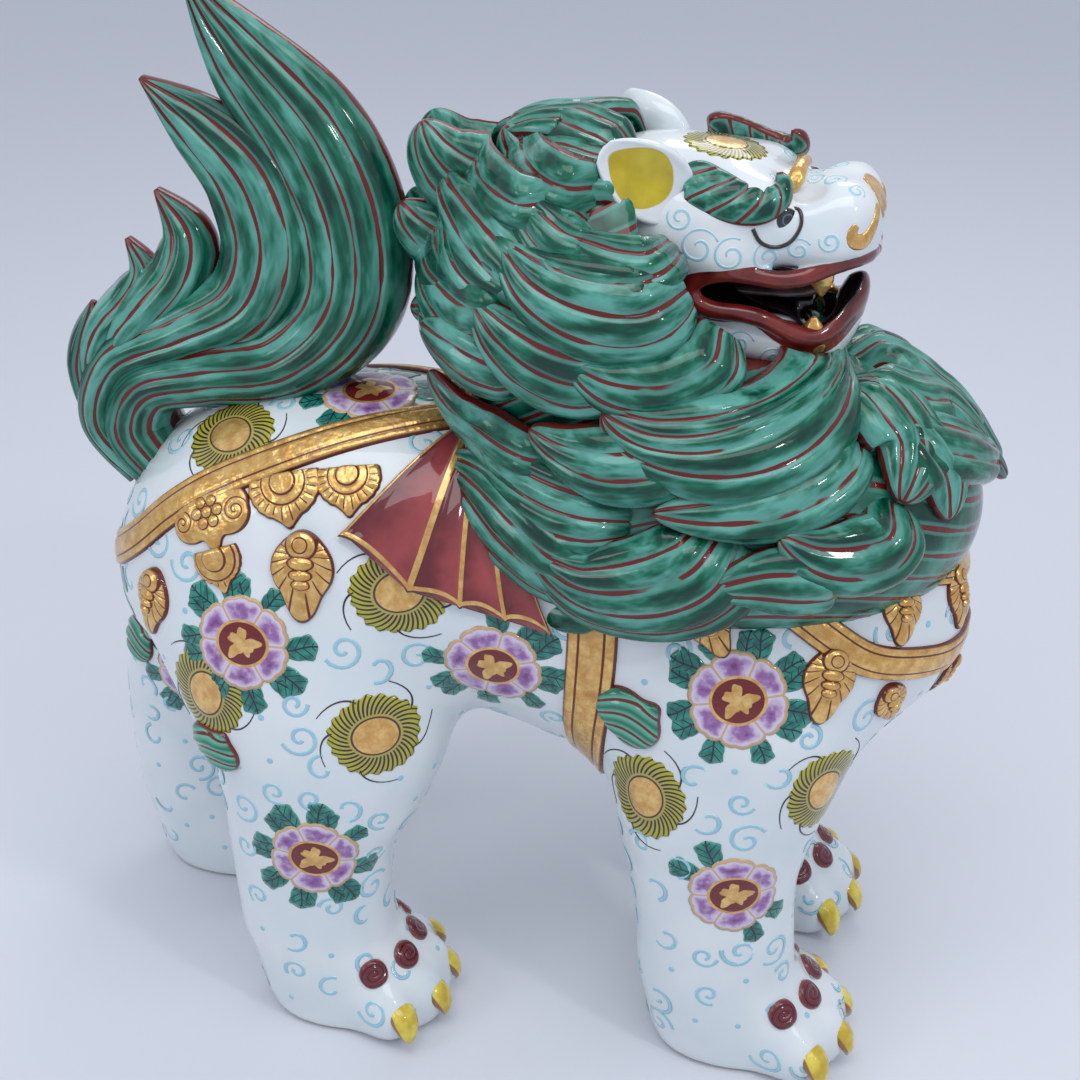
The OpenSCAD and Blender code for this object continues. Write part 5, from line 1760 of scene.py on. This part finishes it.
def eyesAndBrows(face):
    eyePaint = eyeMaterial()
    x, y, z = eyeStyle["place"]
    lids = Patches()
    for side, hand in ((-1, "right"), (1, "left")):
        centre = np.array((x, side * y, z), float)
        look = unit(np.array(eyeStyle["look"]) * (1, side, 1))
        rows, columns = 24, 36
        a = np.linspace(0, math.pi, rows + 2)[1:-1]
        b = ringAngles(columns)
        ball = np.stack([np.cos(a)[:, None] + 0 * b[None], np.sin(a)[:, None] * np.cos(b)[None],
                         np.sin(a)[:, None] * np.sin(b)[None]], -1)
        side1 = unit(np.cross(look, (0, 0, 1)))
        up = np.cross(side1, look)
        ball = ball[..., :1] * look + ball[..., 1:2] * side1 + ball[..., 2:] * up
        grid = centre + eyeStyle["radius"] * ball
        thing = spawn("eyeball_" + hand, turnHead(grid).reshape(-1, 3), gridFaces(rows, columns))
        paint(thing, "gaze", np.repeat(np.degrees(a), columns))
        outward(thing)
        thing.data.materials.append(eyePaint)
        settle(thing, "eye_enamel", "eye_" + hand)
        line = along(np.array(eyeStyle["rim"]) * (1, side, 1), np.linspace(0, 1, 50))
        seat = face.seat((84.5, side * 20, 309), drawn=turnHead)
        local = (turnHead(line) - seat[0]) * 1000
        plan = np.stack([local @ seat[1], local @ seat[2]], -1)
        lids.ribbon(face, seat, plan, 1.3, 0.7, across=6, sink=0.6)
        brow(side, hand)
    settle(lids.make("eyeLines", inkPaint), "dark_enamel")


browStyle = {"path": [(56, 19.5, 319.5, 1.5), (59, 20.5, 321, 6.6), (65, 22, 319, 7.2), (72, 22.6, 316.5, 6.8),
                      (79, 21.6, 315.5, 6.0), (84, 18.6, 317, 4.6), (85.5, 15.5, 320.5, 2.6),
                      (83.0, 14.0, 323.2, 1.2)],
             "thick": 3.6, "lean": 0.75, "step": 7.2, "farLift": 4.0}
browJade = jadeMaterial("browJade", 1.1, *jadeTones, browStyle["step"])


def brow(side, hand):
    path = np.array(browStyle["path"], float)
    path[:, 1] *= side
    path[:, 2] += browStyle["farLift"] * (side > 0)
    rows, columns = 90, 40
    t = np.linspace(0, 1, rows)
    q = along(path, t)
    ahead = unit(np.gradient(q[:, :3], axis=0))
    out = unit(np.array((0.1, side * 0.80, 0.62)))
    out = unit(out - ahead * (ahead @ out)[:, None])
    across = np.cross(ahead, out)
    a = ringAngles(columns)
    length = lengths(q[:, :3])
    half = np.maximum(q[:, 3], 0.4) * (1.02 - 0.9 * step(0.95, 1.0, t)) * (0.25 + 0.75 * step(0.0, 0.1, t))
    slant = length[:, None] + np.cos(a)[None] * half[:, None] * browStyle["lean"] + 40
    shift = slant / browStyle["step"]
    gap = np.abs(shift - np.round(shift)) * browStyle["step"]
    ridge = 0.7 * np.clip(gap / 3.0, 0, 1) ** 0.6
    rings = q[:, None, :3] + across[:, None] * (half[:, None] * np.cos(a))[..., None] \
        + out[:, None] * (np.sin(a)[None] * np.minimum(half, browStyle["thick"])[:, None] * 0.9
                          + np.where(np.sin(a)[None] > 0, ridge * np.sin(a)[None], 0))[..., None]
    thing = spawn("browScroll_" + hand, turnHead(rings).reshape(-1, 3), gridFaces(rows, columns))
    edge = (1 - np.abs(np.cos(a))[None]) * half[:, None] * 1.6
    paint(thing, "lineMm", edge.reshape(-1))
    paint(thing, "phase", np.clip(gap / 3.2, 0, 1).reshape(-1))
    paint(thing, "tone", np.full(rows * columns, 0.0))
    paintVector(thing, "flow", stacked(length[:, None] * 0.15, np.cos(a) * half[:, None] * 0.2, 3.3 * side))
    outward(thing)
    paint(thing, "slant", slant.reshape(-1))
    thing.data.materials.append(browJade)
    settle(thing, "jade_enamel", "brow_" + hand)


earStyle = {"root": (55, 25, 316.5), "tip": (34, 33, 333), "width": 13.0, "cup": 5.5, "farShift": (-9, 0, -3)}


def earMaterial():
    material, tree, pool = enamel("earEnamel", 0.25, 120.0, 0.14)
    wash = mottle(tree, 70.0, 4.0)
    yellow = mix(ramp(wash, 0.3, 0.7), (0.42, 0.30, 0.004, 1), (0.66, 0.52, 0.02, 1))
    white = mix(ramp(pool, 0.3, 0.75), *faceWhites)
    inside = reading(tree, "cupMm") + (wash - 0.5) * 1.2
    return dress(material, mix(ramp(inside, -0.2, 0.2), white, yellow))


def ears():
    material = earMaterial()
    for side, hand in ((-1, "right"), (1, "left")):
        root, tip = (np.array(earStyle[k], float) * (1, side, 1) for k in ("root", "tip"))
        axis = tip - root
        root = root + (side > 0) * np.array(earStyle["farShift"])
        long = np.linalg.norm(axis)
        axis = axis / long
        face = unit(np.array((0.42, side * 0.86, 0.10)))
        face = unit(face - axis * (axis @ face))
        across = np.cross(axis, face)
        rows, columns = 30, 40
        t = np.linspace(0.0, 1, rows)
        width = earStyle["width"] * (np.sin(math.pi * (0.17 + 0.80 * t)) ** 0.55) * (1 - 0.25 * t)
        width[-1] = 1.0
        a = ringAngles(columns)
        ca, sa = np.cos(a)[None], np.sin(a)[None]
        w = width[:, None]
        thick = 6.0 * np.sin(math.pi * (0.12 + 0.80 * t[:, None])) ** 0.7 * np.minimum(w / 10, 1)
        lengthwise = np.sin(math.pi * np.clip(t * 0.92 + 0.10, 0, 1))[:, None] ** 0.8
        hollow = earStyle["cup"] * np.maximum(1 - ca**2 * 1.25, 0) ** 0.8 * lengthwise
        depth = np.where(sa > 0, sa * thick * 0.9 - hollow * np.clip(sa * 2.2, 0, 1), sa * thick * 1.15)
        rings = root + axis * (t * long)[:, None, None] + across * (w * ca)[..., None]
        rings = rings + face * depth[..., None]
        thing = spawn("ear_cup_" + hand, turnHead(rings).reshape(-1, 3), gridFaces(rows, columns))
        edge = (0.80 - np.hypot(ca, (t[:, None] - 0.50) / 0.50)) * w
        edge = np.where(sa > 0.12, edge, -2.0)
        paint(thing, "cupMm", np.broadcast_to(edge, (rows, columns)).reshape(-1))
        outward(thing)
        thing.data.materials.append(material)
        settle(thing, "white_porcelain", "ear_" + hand)


mouthStyle = {  # x, y, z and half width
    "upperFangs": [(98, 15.5, 298, 3.4), (98.3, 15.6, 293, 3.6), (98.6, 15.2, 289, 2.6),
                   (98.8, 14.6, 285.5, 0.6)],
    "lowerFangs": [(96.5, 15.6, 268, 4.4), (97, 16.0, 272, 4.4), (97.2, 16.0, 275.5, 3.2),
                   (97.2, 15.8, 279, 0.7)],
    "tongue": [(58, 0, 281, 11), (68, 0, 284, 13.5), (80, 0, 284, 13.5), (90, 0, 283.5, 11), (97, 0, 284, 7),
               (101, 0, 287.5, 3)]}


def tongueMaterial():
    material, tree, pool = enamel("tongueGlaze", 0.18, 200.0, 0.3)
    wash = ramp(mottle(tree, 110.0, 3.0), 0.3, 0.7)
    return dress(material, mix(wash, (0.03, 0.018, 0.02, 1), (0.10, 0.065, 0.07, 1)))


def mouthPieces():
    fangGold = goldMaterial("giltFangs", lambda tree: ramp(reading(tree, "share"), 2.0, 3.0))
    for name, key in (("upper_fangs", "upperFangs"), ("lower_fangs", "lowerFangs")):
        patches = Patches()
        for side in (-1, 1):
            q = along(np.array(mouthStyle[key], float), np.linspace(0, 1, 18))
            a = ringAngles(20)
            ring = np.stack([1.1 * np.cos(a), 0.75 * np.sin(a), 0 * a], -1)
            patches.tube(turnHead(q[:, None, :3] * (1, side, 1) + ring[None] * q[:, 3, None, None]))
        settle(patches.make("gilt_" + name, fangGold), "gilding", name)
    q = along(np.array(mouthStyle["tongue"], float), np.linspace(0, 1, 40))
    a = ringAngles(28)
    dip = 1.6 * np.exp(-(np.cos(a) / 0.22) ** 2) * (np.sin(a) > 0)
    ring = np.stack([0 * a, np.cos(a), 0 * a], -1)
    grid = q[:, None, :3] + ring[None] * q[:, 3, None, None]
    grid[..., 2] += (np.sin(a) * 2.8 - dip)[None]
    thing = spawn("tongueBlade", turnHead(grid).reshape(-1, 3), gridFaces(40, 28))
    outward(thing)
    thing.data.materials.append(tongueMaterial())
    settle(thing, "dark_enamel", "tongue")


def softBox(name, place, aim, size, power):
    lamp = bpy.data.lights.new(name, "AREA")
    lamp.shape, lamp.size, lamp.size_y, lamp.energy = "RECTANGLE", size[0], size[1], power
    thing = bpy.data.objects.new(name, lamp)
    bpy.context.scene.collection.objects.link(thing)
    thing.location = place
    thing.rotation_euler = (Vector(aim) - Vector(place)).to_track_quat("-Z", "Y").to_euler()


def studio():
    bpy.context.scene.view_settings.view_transform = "Standard"
    world = bpy.data.worlds.new("paleRoom")
    bpy.context.scene.world = world
    world.use_nodes = True
    world.node_tree.nodes["Background"].inputs[0].default_value = (0.80, 0.85, 0.95, 1)
    world.node_tree.nodes["Background"].inputs[1].default_value = 0.72
    softBox("ceilingPanel", (0.1, -0.5, 1.5), (0, 0, 0.15), (1.2, 0.8), 7.2)
    softBox("leftPanel", (-1.1, -0.9, 0.9), (0, 0, 0.2), (0.5, 0.5), 2.6)
    softBox("rightLamp", (0.9, -0.7, 1.1), (0, 0, 0.2), (0.12, 0.12), 2.4)
    softBox("backLamp", (0.2, 0.9, 1.2), (0, 0, 0.2), (0.6, 0.3), 2.0)
    floor = spawn("paleFloor", [(-4, -4, 0), (4, -4, 0), (4, 4, 0), (-4, 4, 0)], [(0, 1, 2, 3)])
    cloth = bpy.data.materials.new("paleCloth")
    cloth.use_nodes = True
    shader = cloth.node_tree.nodes["Principled BSDF"]
    shader.inputs["Base Color"].default_value = (0.68, 0.70, 0.76, 1)
    shader.inputs["Roughness"].default_value = 0.75
    floor.data.materials.append(cloth)


def lookFrom():
    eye = {"turn": 8.0, "rise": 27.0, "distance": 576, "aim": (5, 7, 179), "lens": 36 * 1600 / 1080}
    a, e = math.radians(eye["turn"]), math.radians(eye["rise"])
    back = np.array([math.sin(a) * math.cos(e), -math.cos(a) * math.cos(e), math.sin(e)])
    place = toFrame(np.array(eye["aim"]) + back * eye["distance"])
    camera = bpy.data.objects.new("viewer", bpy.data.cameras.new("viewer"))
    bpy.context.scene.collection.objects.link(camera)
    camera.data.lens, camera.data.sensor_width = eye["lens"], 36
    camera.location = place
    camera.rotation_euler = Vector(-back).to_track_quat("-Z", "Y").to_euler()
    bpy.context.scene.camera = camera


lookFrom()
studio()
body = bodyPieces()
maneAndNeck()
tail()
hide = Ground(*body)
strapPieces(hide)
sprigPieces(hide)
flapPieces(hide)
pawPieces(hide)
flowersAndLeaves(hide)
bodyScrolls(body, hide)
headPieces()

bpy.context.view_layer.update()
report("done")
